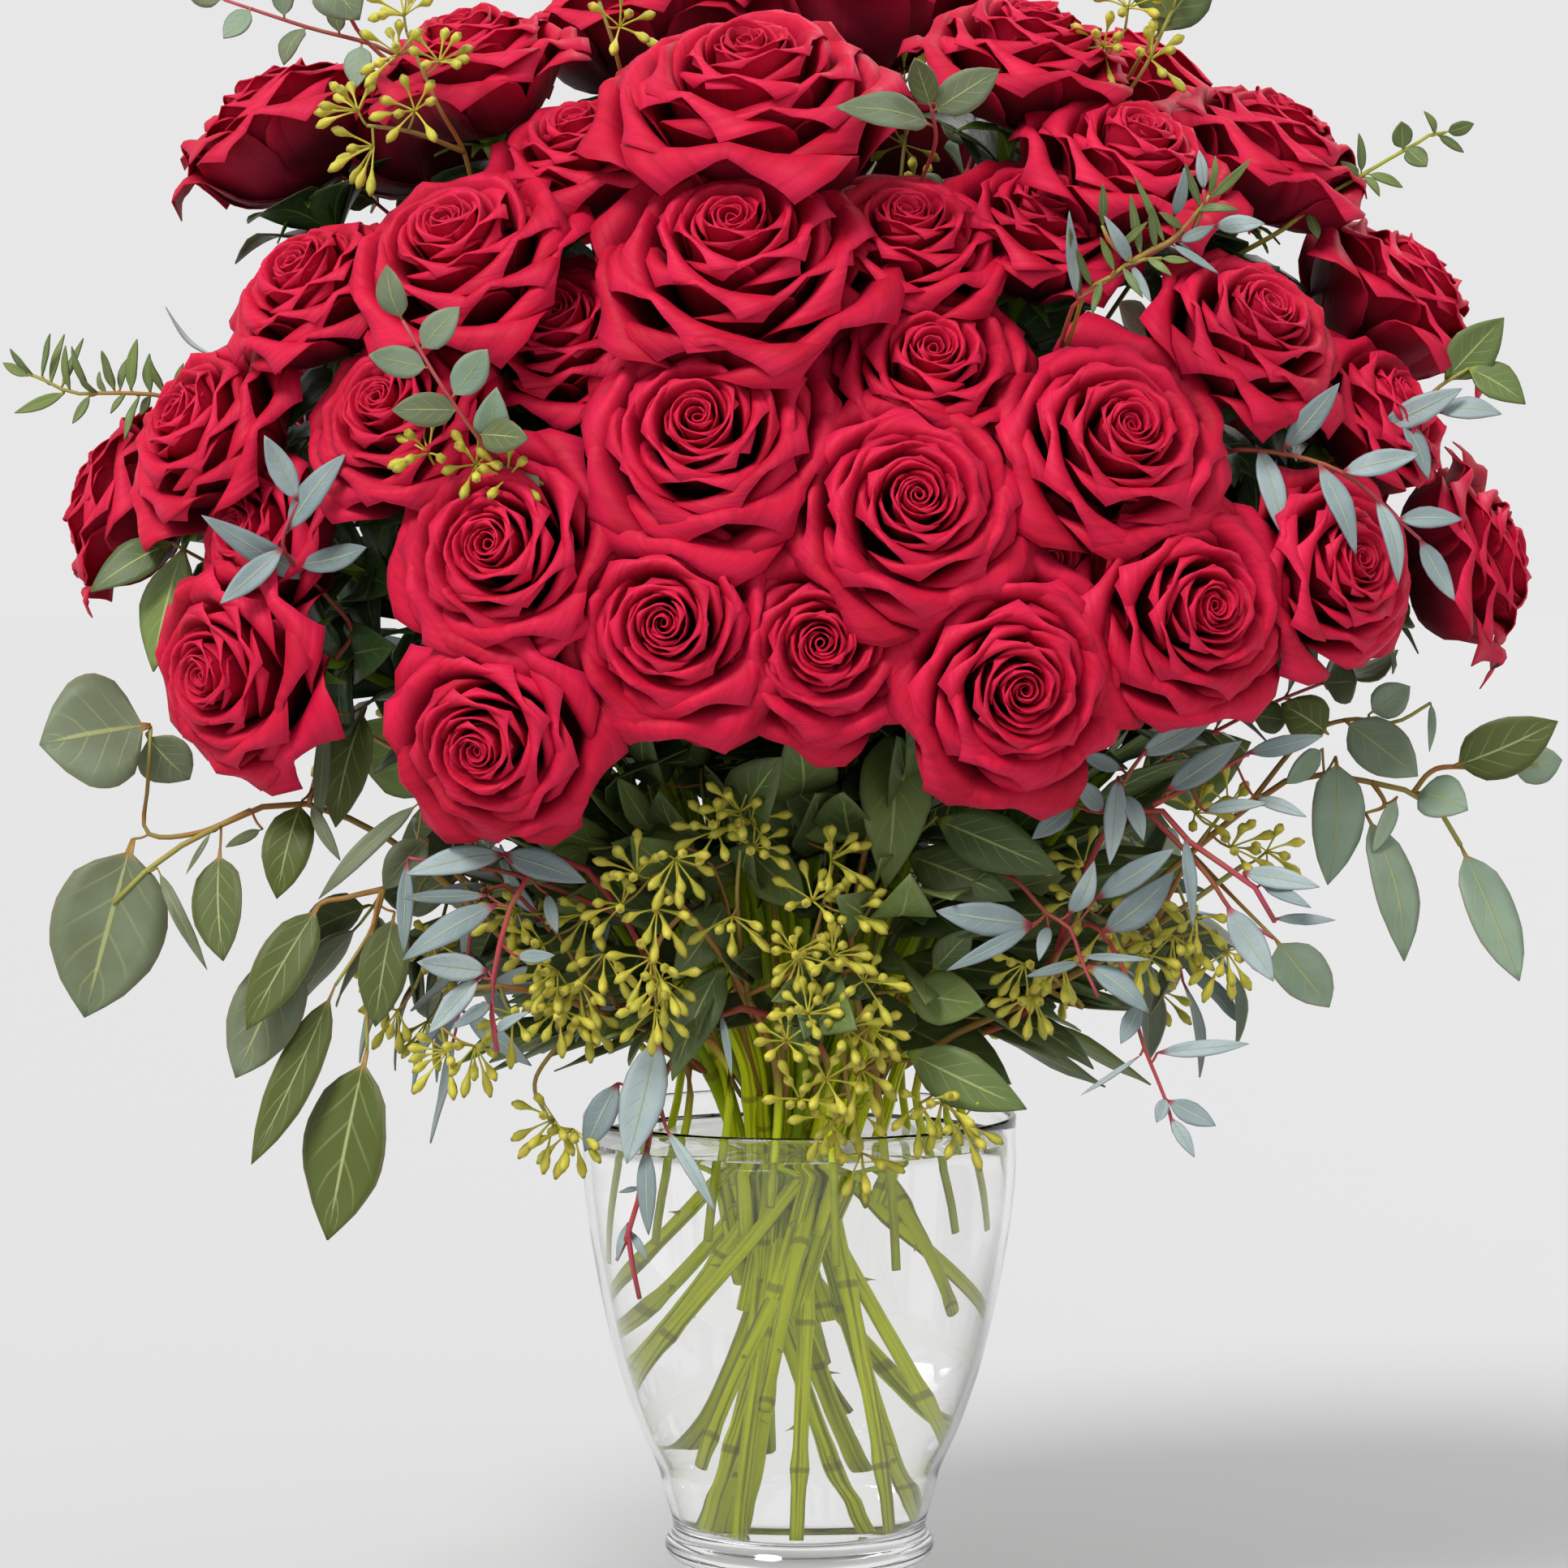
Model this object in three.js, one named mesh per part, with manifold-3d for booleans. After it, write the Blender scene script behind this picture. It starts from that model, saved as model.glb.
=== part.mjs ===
// Roses in a vase: a clear glass vase of water that holds a wide, domed bouquet of open roses with
// seeded, round-leaved and narrow-leaved eucalyptus. Millimetres, +Z up. The origin is the centre of
// the flat underside of the vase's foot, and the front of the bouquet faces -Y.
import * as THREE from 'three';
import { mergeVertices } from 'three/addons/utils/BufferGeometryUtils.js';
import Module from 'manifold-3d';

const wasm = await Module();
wasm.setup();

// ---- driving dimensions ----

const touchGap = 0.3; // between pieces that touch

// vase
const vaseHeight = 205;
const mouthRadius = 80.5;
const collarRadius = 50;
const collarHeight = 44;
const footRadius = 53;
const glassWall = 2.8;
const floorHeight = 50; // top of the solid glass base
const floorRadius = 42; // of the flat floor inside
const vaseSides = 18;
const waterLevel = 195;

// dome on which the bases of the blooms sit
const heartHeight = 385;
const domeHalfWidth = 222;
const domeHalfHeight = 212;
const domeFrontDepth = 128;
const domeBackDepth = 88;
const domeSquareness = 2.2; // 2 is an ellipsoid
const bloomFullness = 1.05; // the outer petals press into their neighbours
const ridge = 0.55; // the blooms look away from a ridge this share of the dome's width

// bundle of stems: each goes straight from its foot to its place in the mouth, and crosses the rest
const stemRadius = 2.6;
const stemFoot = floorHeight + 1.4; // the low corner of a slanting stem's end rests on the floor
const mouthLevel = 225;
const bundleMouthRadius = 45;
const bundleTwist = 140; // from a stem's place in the mouth to its foot, in degrees
const bundleStray = 30; // the most that chance adds to it or takes away
const bundleEdge = 0.9; // the outermost rose stem's lane, as a share of the mouth radius
const edgeLean = 60; // the lean from upright, in degrees, that puts a bloom's stem in the outermost lane
const laneSpread = 1.3; // spreads the lanes of the front and back blooms round the bundle
const floorFeet = [20, 38]; // distances of the feet on the floor from the axis
const wallLane = 0.35; // stems of the lanes outside this one may lean on the glass
const wallChance = 0.38; // for one of those
const wallFeet = [70, 138]; // the heights of their feet
const wallStand = 4; // from the inside of the glass to the middle of such a foot
const shortChance = 0.5; // for a stem that is cut shorter, as a florist leaves some
const shortFeet = [132, 184]; // the heights of their feet
const stemBow = 0.35; // how far below its bloom a stem's curve aims, as a share of its rise
const stalkMouthRadius = 58; // the stalks of the foliage leave the mouth outside the rose stems
const stalkFeet = [150, 182]; // the heights at which they lean on the glass
const stemSides = 4;
const crossing = [[28, 108], [23, 150], [31, 205]]; // radius and height where the stems press together
const crossingRoom = 36; // radius of the hole in the water round it
const crossingSides = 10;
const holeDepth = 2; // of a stem's hole in the water below its foot
const calyxHeight = 8;
const sepalReach = 4.8; // of the sepals, in stem radii
const stalkRadius = 1.6;
const twigRadius = 1.1;
const seedStep = 3; // between the roots of a fan of seeds
const bladeThickness = 1.2;
const bladeFold = 0.16; // rise of a blade's edges over their distance from its midrib
const bladeArch = 0.1; // rise of a blade's middle, as a share of its length

// petals in layers: radius and height as shares of the bloom's half width, and how far each layer
// waves between petal tips and notches, with the sign that turns it half a petal from its neighbour
const petalCount = 5;
const bloomProfile = [
  [0.62, 0.2, 0],
  [1, 0.86, 0.08],
  [0.74, 0.78, 0.04],
  [0.7, 1.08, -0.1],
  [0.43, 0.86, -0.06],
  [0.36, 1.2, 0.14],
];
const bloomHeight = 1.04; // a dimple between the innermost petals
const bloomMiddle = 0.8; // the height of a bloom's middle, in half widths
const petalLift = 0.4; // of a waved edge, as a share of its wave outwards
const petalDroop = 0.015; // the most that chance moves a petal edge, in half widths

// blooms in front, read from the front view: across and up of the base on the dome, width, and how
// far the base is set back behind the dome
const frontBlooms = [
  [-16, 538, 94, 0],
  [-20, 490, 88, 0],
  [33, 500, 66, 10],
  [-107, 494, 76, 0],
  [-158, 487, 64, 0],
  [-178, 544, 74, 0],
  [-30, 439, 80, 0],
  [40, 460, 66, 8],
  [97, 438, 75, 0],
  [34, 420, 74, -4],
  [144, 473, 66, 0],
  [106, 525, 70, 0],
  [157, 534, 70, 0],
  [198, 486, 72, 0],
  [-128, 448, 62, 0],
  [-192, 443, 66, 0],
  [-226, 422, 68, 0],
  [-91, 408, 74, 0],
  [-40, 388, 72, 0],
  [6, 383, 66, 0],
  [65, 371, 72, -2],
  [121, 392, 72, 0],
  [168, 404, 66, 0],
  [220, 405, 70, 0],
  [-179, 374, 68, 0],
  [-96, 355, 68, 0],
  [74, 404, 62, 12],
  [-110, 561, 70, 0],
  [75, 564, 68, 0],
  [-71, 530, 64, 14],
  [-75, 471, 62, 16],
  [78, 507, 62, 16],
  [190, 450, 60, 10],
  [-172, 412, 60, 14],
];

// blooms on the top and at the back, which the front view doesn't reach
const backBlooms = [
  [-58, 582, 74, 20],
  [18, 586, 80, 18],
  [-132, 546, 76, 22],
  [-50, 530, 82, 0],
  [42, 535, 82, 0],
  [112, 556, 78, 20],
  [-175, 450, 76, 0],
  [-90, 450, 84, 0],
  [0, 455, 86, 0],
  [88, 448, 84, 0],
  [172, 440, 76, 0],
  [0, 375, 80, 0],
];

// ---- materials ----

const surface = (color, roughness) => new THREE.MeshStandardMaterial({ color, roughness, metalness: 0 });
const glassPale = '#dfe6e6';
const waterPale = '#e8f0ee';
const petalRed = '#b3122f';
const stemGreen = '#7f9a1e';
const silverLeaf = '#7f9482';
const oliveLeaf = '#6b7a3a';
const willowLeaf = '#7e8e8e';
const seedGreen = '#a5a832';

// ---- helpers ----

const vector = (point) => new THREE.Vector3(...point);

/** A repeatable number from 0 to 1 for any seed. */
function chance(seed) {
  const value = Math.sin(seed * 12.9898) * 43758.5453;
  return value - Math.floor(value);
}

function solidOf(geometry) {
  geometry.deleteAttribute('normal');
  geometry.deleteAttribute('uv');
  const merged = mergeVertices(geometry, 1e-3);
  return new wasm.Manifold(
    new wasm.Mesh({
      numProp: 3,
      vertProperties: Float32Array.from(merged.attributes.position.array),
      triVerts: Uint32Array.from(merged.index.array),
    }),
  );
}

const joined = (solids) => solids.reduce((whole, next) => whole.add(next));

/** The largest body of a solid: loose scraps that a cut leaves are dropped. */
function mainBody(solid) {
  return solid.decompose().reduce((best, next) => (next.volume() > best.volume() ? next : best));
}

function meshOf(name, solid, material) {
  const { vertProperties, triVerts } = mainBody(solid).getMesh();
  const geometry = new THREE.BufferGeometry();
  geometry.setAttribute('position', new THREE.BufferAttribute(Float32Array.from(vertProperties), 3));
  geometry.setIndex(new THREE.BufferAttribute(Uint32Array.from(triVerts), 1));
  geometry.computeVertexNormals();
  const mesh = new THREE.Mesh(geometry, material);
  mesh.name = name;
  return mesh;
}

/** Frame with its origin at base, +Y along a direction and +Z as near as possible to the given face. */
function frameAt(base, along, face) {
  const y = along.clone().normalize();
  const x = y.clone().cross(face).normalize();
  const z = x.clone().cross(y);
  return new THREE.Matrix4().makeBasis(x, y, z).setPosition(base);
}

/** Path of straight steps that meet at the joints. */
class JointedPath extends THREE.Curve {
  constructor(joints) {
    super();
    this.joints = joints;
    this.last = joints.length - 1;
  }

  getPointAt(share) {
    const step = Math.min(this.last - 1, Math.floor(share * this.last));
    return this.joints[step].clone().lerp(this.joints[step + 1], share * this.last - step);
  }

  getTangentAt(share) {
    const here = Math.round(share * this.last);
    const way = (step) => this.joints[step + 1].clone().sub(this.joints[step]).normalize();
    return way(Math.max(0, here - 1)).add(way(Math.min(this.last - 1, here))).normalize();
  }
}

/** Bar with straight steps between joints. flare widens its far end by that many times. */
function bar(joints, radius, sides, flare = 1) {
  const corners = Array.from({ length: sides }, (_, i) => {
    return new THREE.Vector2(radius, 0).rotateAround(new THREE.Vector2(), (2 * Math.PI * i) / sides);
  });
  const geometry = new THREE.ExtrudeGeometry(new THREE.Shape(corners), {
    extrudePath: new JointedPath(joints),
    steps: joints.length - 1,
    bevelEnabled: false,
  });
  const position = geometry.attributes.position;
  const end = joints.at(-1);
  for (let i = 0; i < position.count; i += 1) {
    const out = new THREE.Vector3().fromBufferAttribute(position, i).sub(end);
    if (out.length() > radius * 1.01) continue;
    position.setXYZ(i, ...out.multiplyScalar(flare).add(end));
  }
  return solidOf(geometry);
}

/** Solid turned about Z from points of radius and height. */
function turned(profile, sides) {
  const geometry = new THREE.LatheGeometry(profile.map(([r, h]) => new THREE.Vector2(r, h)), sides);
  geometry.rotateX(Math.PI / 2);
  return solidOf(geometry);
}

// ---- vase and water ----

const shoulder = new THREE.SplineCurve([
  new THREE.Vector2(47, 52),
  new THREE.Vector2(53, 74),
  new THREE.Vector2(61, 92),
  new THREE.Vector2(69, 117),
  new THREE.Vector2(75.5, 147),
  new THREE.Vector2(79.8, 177),
  new THREE.Vector2(mouthRadius, vaseHeight - 2),
]);
const shoulderPoints = shoulder.getPoints(4).map(({ x, y }) => [x, y]);
const insidePoints = shoulderPoints.map(([r, h]) => [r - glassWall, h]);
insidePoints[0] = [insidePoints[0][0] - 1, floorHeight + 2];
insidePoints.unshift([floorRadius, floorHeight]);

function vase() {
  return turned(
    [
      [0, 0],
      [footRadius - 1.5, 0],
      [footRadius, 2],
      [45, 12],
      [38, 24],
      [42, 36],
      [collarRadius, collarHeight],
      [collarRadius - 2, collarHeight + 4],
      ...shoulderPoints,
      [mouthRadius - 0.8, vaseHeight],
      [mouthRadius - 2, vaseHeight],
      ...insidePoints.toReversed(),
      [0, floorHeight],
    ],
    vaseSides,
  );
}

/** Radius of the inside of the vase at a height. */
function insideRadius(height) {
  const above = insidePoints.findIndex(([, h]) => h > height) || 1;
  const [r0, h0] = insidePoints[above - 1];
  const [r1, h1] = insidePoints[above];
  return r0 + ((r1 - r0) * (height - h0)) / (h1 - h0);
}

/** The water fills the vase up to its level. Stems stand in plain holes, which are cut later. */
function wholeWater() {
  const bottom = floorHeight + touchGap;
  const between = insidePoints.map(([, h]) => h).filter((h) => h > bottom && h < waterLevel);
  const outside = [bottom, ...between, waterLevel].map((h) => [insideRadius(h) - touchGap, h]);
  return turned([[0, bottom], ...outside, [0, waterLevel]], vaseSides);
}

// ---- stems ----

const ringPoint = (radius, bearing, height) => {
  return new THREE.Vector3(radius * Math.cos(bearing), radius * Math.sin(bearing), height);
};

/** The number in a range at a share from 0 to 1. */
const within = ([low, high], share) => low + (high - low) * share;

/** Base of a bloom on the dome. side is -1 in front and 1 at the back. */
function bloomBase([across, up, , setBack], side) {
  const room =
    1 -
    (Math.abs(across) / domeHalfWidth) ** domeSquareness -
    (Math.abs(up - heartHeight) / domeHalfHeight) ** domeSquareness;
  const depth = (side < 0 ? domeFrontDepth : domeBackDepth) * Math.max(0, room) ** (1 / domeSquareness);
  return new THREE.Vector3(across, side * Math.max(0, depth - setBack), up);
}

const bloomRows = [...frontBlooms.map((row) => [row, -1]), ...backBlooms.map((row) => [row, 1])];
const blooms = bloomRows.map(([row, side], index) => {
  const base = bloomBase(row, side);
  const facing = base.clone().sub(new THREE.Vector3(ridge * base.x, 0, heartHeight)).normalize();
  const half = (bloomFullness * row[2]) / 2;
  const lean = Math.atan2(Math.hypot(base.x, base.y), base.z - mouthLevel);
  const lane = Math.min(bundleEdge, lean / THREE.MathUtils.degToRad(edgeLean));
  const centre = base.clone().addScaledVector(facing, bloomMiddle * half);
  return { index, base, facing, half, lane, centre };
});

/** Foot of a rose stem, on the floor, against the glass or cut shorter, and its place in the mouth. */
function stemEnds({ index, base, lane }) {
  const bearing = Math.atan2(base.y * laneSpread, base.x);
  const mouth = ringPoint(bundleMouthRadius * lane, bearing, mouthLevel);
  const twist = bundleTwist + 2 * bundleStray * (chance(index + 1) - 0.5);
  const over = bearing - THREE.MathUtils.degToRad(twist);
  const draw = chance(index + 1.37);
  const reach = chance(index + 1.11);
  if (lane > wallLane && draw > 1 - wallChance) {
    const height = within(wallFeet, reach);
    return [ringPoint(insideRadius(height) - wallStand, over, height), mouth];
  }
  const foot = ringPoint(within(floorFeet, reach), over, stemFoot);
  if (draw >= shortChance) return [foot, mouth];
  const end = within(shortFeet, chance(index + 1.61));
  return [foot.lerp(mouth, (end - stemFoot) / (mouthLevel - stemFoot)), mouth];
}

/** A stem goes straight from its foot to the mouth, then curves up to the bloom. */
function stemJoints(bloom, seat = touchGap) {
  const { base, facing } = bloom;
  const [foot, mouth] = stemEnds(bloom);
  const back = (length) => base.clone().addScaledVector(facing, -length);
  const bow = back(stemBow * mouth.distanceTo(base));
  const rise = new THREE.QuadraticBezierCurve3(mouth, bow, back(calyxHeight));
  return [foot, ...rise.getPoints(2), back(seat)];
}

/** Stem whose end opens into the sepals under its bloom, or the room that it needs with some extra. */
function roseStem(bloom, extra = 0) {
  const seat = extra > 0 ? touchGap / 3 : touchGap;
  return bar(stemJoints(bloom, seat), stemRadius + extra, stemSides, sepalReach);
}

// ---- leaves, seeds and sprays ----

/** Outlines of a leaf: share of the length, and half width as a share of the widest. */
const leafOutlines = {
  round: [
    [0.26, 0.92],
    [0.66, 0.84],
  ],
  narrow: [
    [0.3, 0.95],
    [0.65, 0.85],
  ],
};

/** Leaf from its base to its tip, folded a little along its midrib, its upper side towards face. */
function leaf(base, tip, width, face, outline, extra) {
  const along = tip.clone().sub(base);
  const length = along.length();
  const sides = leafOutlines[outline].map(([at, wide]) => [(wide * width) / 2, at * length]);
  const profile = [[0, -1.5], ...sides, [0, length + 4 * extra]].map(([r, h]) => new THREE.Vector2(r, h));
  const geometry = new THREE.LatheGeometry(profile, 4);
  const position = geometry.attributes.position;
  for (let i = 0; i < position.count; i += 1) {
    const point = new THREE.Vector3().fromBufferAttribute(position, i);
    const half = Math.sign(Math.round(point.z * 1e3)) * (bladeThickness / 2 + extra);
    const arch = bladeArch * length * Math.sin((Math.PI * Math.max(0, point.y)) / length);
    position.setXYZ(
      i,
      point.x + Math.sign(Math.round(point.x * 1e3)) * extra,
      point.y,
      half + bladeFold * Math.abs(point.x) + arch,
    );
  }
  geometry.applyMatrix4(frameAt(base, along, face));
  return solidOf(geometry);
}

/** Club-shaped seed on its short stalk. */
function seed(base, along, extra) {
  const geometry = new THREE.LatheGeometry(
    [
      new THREE.Vector2(0, -1),
      new THREE.Vector2(2.7 + extra, 9),
      new THREE.Vector2(0, 12 + extra),
    ],
    3,
  );
  const face = Math.abs(along.z) > 0.9 ? new THREE.Vector3(1, 0, 0) : new THREE.Vector3(0, 0, 1);
  geometry.applyMatrix4(frameAt(base, along, face));
  return solidOf(geometry);
}

/** Fan of seeds round a direction, their roots a little apart along it. */
function umbel(base, along, count, number, extra) {
  const face = Math.abs(along.y) > 0.9 ? new THREE.Vector3(1, 0, 0) : new THREE.Vector3(0, 1, 0);
  const frame = frameAt(new THREE.Vector3(), along, face);
  return Array.from({ length: count }, (_, i) => {
    const turn = 2.4 * i + chance(number + i);
    const open = i === 0 ? 0.15 : 0.75 + 0.3 * chance(number + 7 * i);
    const ray = new THREE.Vector3().setFromSphericalCoords(1, open, turn).applyMatrix4(frame);
    return seed(base.clone().addScaledVector(along, -seedStep * i), ray, extra);
  });
}

/** Point and direction on a twig at a share of the length between its joints. */
function placeOn(joints, at) {
  const path = new JointedPath(joints);
  return { point: path.getPointAt(at), along: path.getTangentAt(at) };
}

/**
 * Spray of twigs with leaves and seeds. The first twig goes on from its stalk. A leaf is its twig,
 * its place on it from 0 to 1, its tip and its width; seeds are their twig, place and number.
 */
function spray({ twigs, outline = 'round', leaves = [], seeds = [], side = -1 }, stalk, extra = 0) {
  const paths = twigs.map((points) => points.map(vector));
  const parts = paths.map((joints, i) => {
    return bar(i === 0 ? [...stalk, ...joints] : joints, (i === 0 ? stalkRadius : twigRadius) + extra, 3);
  });
  leaves.forEach(([onTwig, at, tip, width], i) => {
    const face = new THREE.Vector3(0.7 * (chance(i + width) - 0.5), side, 0.5 * chance(i + 3 * width));
    parts.push(leaf(placeOn(paths[onTwig], at).point, vector(tip), width, face, outline, extra));
  });
  seeds.forEach(([onTwig, at, count], i) => {
    const { point, along } = placeOn(paths[onTwig], at);
    parts.push(...umbel(point, along, count, 10 * i + onTwig, extra));
  });
  return joined(parts);
}

// Foliage that leaves the mouth round the outside of the roses: the bearing of its lane, then its
// twigs, leaves and seeds.
const outerSprays = {
  dollar_left: {
    bearing: -160,
    color: silverLeaf,
    twigs: [
      [[-95, -45, 262], [-161, -60, 316], [-200, -64, 312], [-233, -66, 303]],
      [[-108, -49, 275], [-135, -72, 300], [-150, -80, 282], [-158, -82, 256], [-155, -82, 232]],
      [[-214, -65, 309], [-228, -68, 322], [-226, -70, 338]],
    ],
    leaves: [
      [2, 0.98, [-276, -76, 334], 46],
      [0, 0.98, [-256, -76, 241], 44],
      [0, 0.74, [-205, -74, 262], 24],
      [1, 0.5, [-198, -88, 219], 32],
      [1, 0.38, [-190, -70, 238], 26],
      [1, 0.78, [-197, -92, 188], 18],
      [1, 0.98, [-170, -86, 164], 34],
      [1, 0.62, [-146, -90, 236], 13],
      [0, 0.6, [-172, -80, 288], 15],
    ],
  },
  dollar_right: {
    bearing: -12,
    color: silverLeaf,
    twigs: [
      [[95, -45, 262], [150, -60, 302], [190, -60, 334], [228, -60, 330], [264, -58, 338]],
      [[228, -60, 330], [236, -63, 305]],
      [[142, -57, 296], [170, -74, 278]],
    ],
    leaves: [
      [0, 0.62, [188, -72, 290], 20],
      [0, 0.64, [204, -60, 361], 27],
      [0, 0.72, [216, -74, 266], 20],
      [0, 0.82, [244, -48, 306], 18],
      [1, 0.98, [256, -70, 254], 24],
      [0, 0.9, [268, -76, 358], 26],
      [0, 0.98, [288, -52, 330], 18],
      [2, 0.98, [189, -82, 243], 22],
    ],
  },
  leafy_centre: {
    bearing: -62,
    color: oliveLeaf,
    twigs: [[[42, -70, 250], [50, -92, 282], [42, -104, 312]]],
    leaves: [
      [0, 0.3, [82, -84, 217], 24],
      [0, 0.5, [70, -98, 256], 24],
      [0, 0.78, [92, -110, 300], 21],
      [0, 0.95, [30, -110, 336], 28],
      [0, 0.62, [10, -100, 304], 22],
    ],
  },
  seeded_centre: {
    bearing: -98,
    color: seedGreen,
    twigs: [
      [[-20, -82, 258], [-40, -108, 288], [-58, -122, 302]],
      [[-18, -78, 254], [-22, -112, 290], [-20, -128, 318]],
      [[-19, -80, 256], [6, -98, 268], [18, -116, 288]],
      [[-40, -108, 288], [-54, -118, 270], [-58, -118, 250]],
    ],
    seeds: [
      [0, 0.98, 5],
      [1, 0.98, 4],
      [2, 0.98, 4],
      [3, 0.98, 4],
    ],
  },
  seeded_left: {
    bearing: -134,
    color: seedGreen,
    twigs: [
      [[-72, -76, 250], [-112, -90, 262], [-134, -96, 240]],
      [[-74, -77, 251], [-93, -92, 228], [-92, -98, 206]],
    ],
    seeds: [
      [0, 0.98, 4],
      [0, 0.7, 3],
      [1, 0.98, 4],
      [1, 0.55, 3],
    ],
  },
  seeded_right: {
    bearing: -42,
    color: seedGreen,
    twigs: [
      [[84, -66, 254], [124, -86, 280], [160, -88, 296]],
      [[88, -68, 257], [108, -92, 250], [112, -98, 242]],
      [[90, -69, 258], [118, -88, 272], [146, -96, 268]],
    ],
    seeds: [
      [0, 0.98, 4],
      [0, 0.72, 3],
      [1, 0.98, 4],
      [2, 0.98, 4],
    ],
  },
  willow_left: {
    bearing: -116,
    color: willowLeaf,
    outline: 'narrow',
    twigs: [[[-58, -88, 262], [-90, -112, 300], [-104, -120, 276], [-109, -120, 246]]],
    leaves: [
      [0, 0.55, [-133, -124, 306], 12],
      [0, 0.68, [-139, -124, 276], 13],
      [0, 0.8, [-134, -124, 256], 12],
      [0, 0.9, [-130, -128, 232], 12],
      [0, 0.98, [-104, -126, 220], 9],
      [0, 0.75, [-84, -130, 262], 9],
    ],
  },
  willow_front: {
    bearing: -80,
    color: willowLeaf,
    outline: 'narrow',
    twigs: [
      [[8, -72, 244], [-8, -92, 240], [-34, -96, 222]],
      [[-30, -96, 225], [-50, -90, 205], [-55, -84, 180], [-58, -78, 146]],
    ],
    leaves: [
      [0, 0.8, [-54, -100, 196], 17],
      [1, 0.2, [-28, -96, 178], 9],
      [1, 0.8, [-78, -80, 150], 7],
      [1, 0.9, [-42, -84, 140], 7],
      [1, 0.98, [-60, -78, 128], 7],
    ],
  },
  willow_right: {
    bearing: -26,
    color: willowLeaf,
    outline: 'narrow',
    twigs: [[[84, -50, 250], [110, -110, 300], [128, -120, 326], [148, -118, 308], [166, -116, 286]]],
    leaves: [
      [0, 0.5, [98, -130, 340], 11],
      [0, 0.6, [150, -124, 352], 12],
      [0, 0.72, [112, -134, 306], 12],
      [0, 0.8, [170, -124, 326], 11],
      [0, 0.88, [134, -132, 280], 11],
      [0, 0.95, [190, -118, 292], 10],
      [0, 0.98, [172, -120, 262], 10],
    ],
  },
  back_left: {
    bearing: 140,
    color: oliveLeaf,
    side: 1,
    twigs: [[[-66, 62, 262], [-100, 88, 296], [-134, 92, 326]]],
    leaves: [
      [0, 0.98, [-176, 98, 344], 34],
      [0, 0.8, [-158, 104, 292], 32],
      [0, 0.66, [-92, 116, 334], 34],
      [0, 0.5, [-122, 104, 262], 30],
      [0, 0.3, [-62, 104, 274], 30],
    ],
  },
  back_right: {
    bearing: 48,
    color: oliveLeaf,
    side: 1,
    twigs: [[[60, 64, 260], [96, 90, 292], [132, 92, 322]]],
    leaves: [
      [0, 0.98, [176, 96, 338], 34],
      [0, 0.8, [152, 104, 286], 32],
      [0, 0.62, [88, 118, 332], 34],
      [0, 0.5, [114, 104, 256], 30],
      [0, 0.26, [46, 106, 268], 30],
    ],
  },
};

// Sprigs among the roses, each from beside the stem of the rose of that number.
const innerSprigs = [
  {
    rose: 28,
    twigs: [
      [[-118, -76, 552], [-126, -100, 568], [-136, -104, 590]],
      [[-120, -82, 555], [-144, -104, 554]],
    ],
    seeds: [[0, 0.98, 4], [1, 0.98, 4]],
  },
  { rose: 29, twigs: [[[98, -62, 572], [114, -78, 592]]], seeds: [[0, 0.98, 4]] },
  {
    rose: 31,
    twigs: [[[-98, -128, 440], [-106, -158, 448], [-120, -166, 468], [-133, -166, 488]]],
    leaves: [
      [0, 0.5, [-102, -174, 470], 12],
      [0, 0.7, [-136, -172, 460], 10],
      [0, 0.98, [-138, -172, 502], 10],
    ],
  },
  {
    rose: 16,
    twigs: [[[-214, -32, 478], [-240, -38, 486], [-284, -40, 480]]],
    outline: 'narrow',
    leaves: [
      [0, 0.5, [-244, -40, 506], 4],
      [0, 0.7, [-264, -40, 462], 4],
    ],
  },
  {
    rose: 32,
    twigs: [[[92, -118, 486], [102, -142, 502], [120, -152, 518], [146, -150, 522]]],
    outline: 'narrow',
    leaves: [
      [0, 0.45, [104, -154, 532], 6],
      [0, 0.7, [130, -160, 500], 6],
      [0, 0.98, [164, -152, 526], 7],
    ],
  },
  {
    rose: 11,
    twigs: [[[150, -112, 448], [184, -118, 440], [214, -112, 416]]],
    outline: 'narrow',
    leaves: [
      [0, 0.4, [166, -124, 418], 10],
      [0, 0.65, [206, -124, 440], 9],
      [0, 0.98, [228, -112, 398], 8],
    ],
  },
  {
    rose: 13,
    twigs: [[[184, -30, 540], [212, -32, 556], [242, -32, 567]]],
    leaves: [[0, 0.5, [206, -36, 574], 9], [0, 0.8, [232, -34, 550], 9], [0, 0.98, [254, -32, 576], 9]],
  },
  {
    rose: 6,
    twigs: [[[-150, -30, 594], [-178, -30, 602], [-208, -28, 612]]],
    leaves: [[0, 0.5, [-172, -34, 584], 9], [0, 0.8, [-192, -32, 622], 10], [0, 0.98, [-222, -28, 614], 9]],
  },
  {
    rose: 3,
    twigs: [[[46, -124, 552], [44, -146, 562]]],
    leaves: [[0, 0.95, [14, -152, 562], 10], [0, 0.98, [66, -152, 574], 12]],
  },
  {
    rose: 34,
    twigs: [[[-166, -92, 398], [-178, -116, 414], [-172, -126, 430]]],
    outline: 'narrow',
    leaves: [
      [0, 0.6, [-204, -128, 424], 10],
      [0, 0.98, [-158, -132, 446], 10],
    ],
  },
];

// ---- the bouquet put together ----

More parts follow.
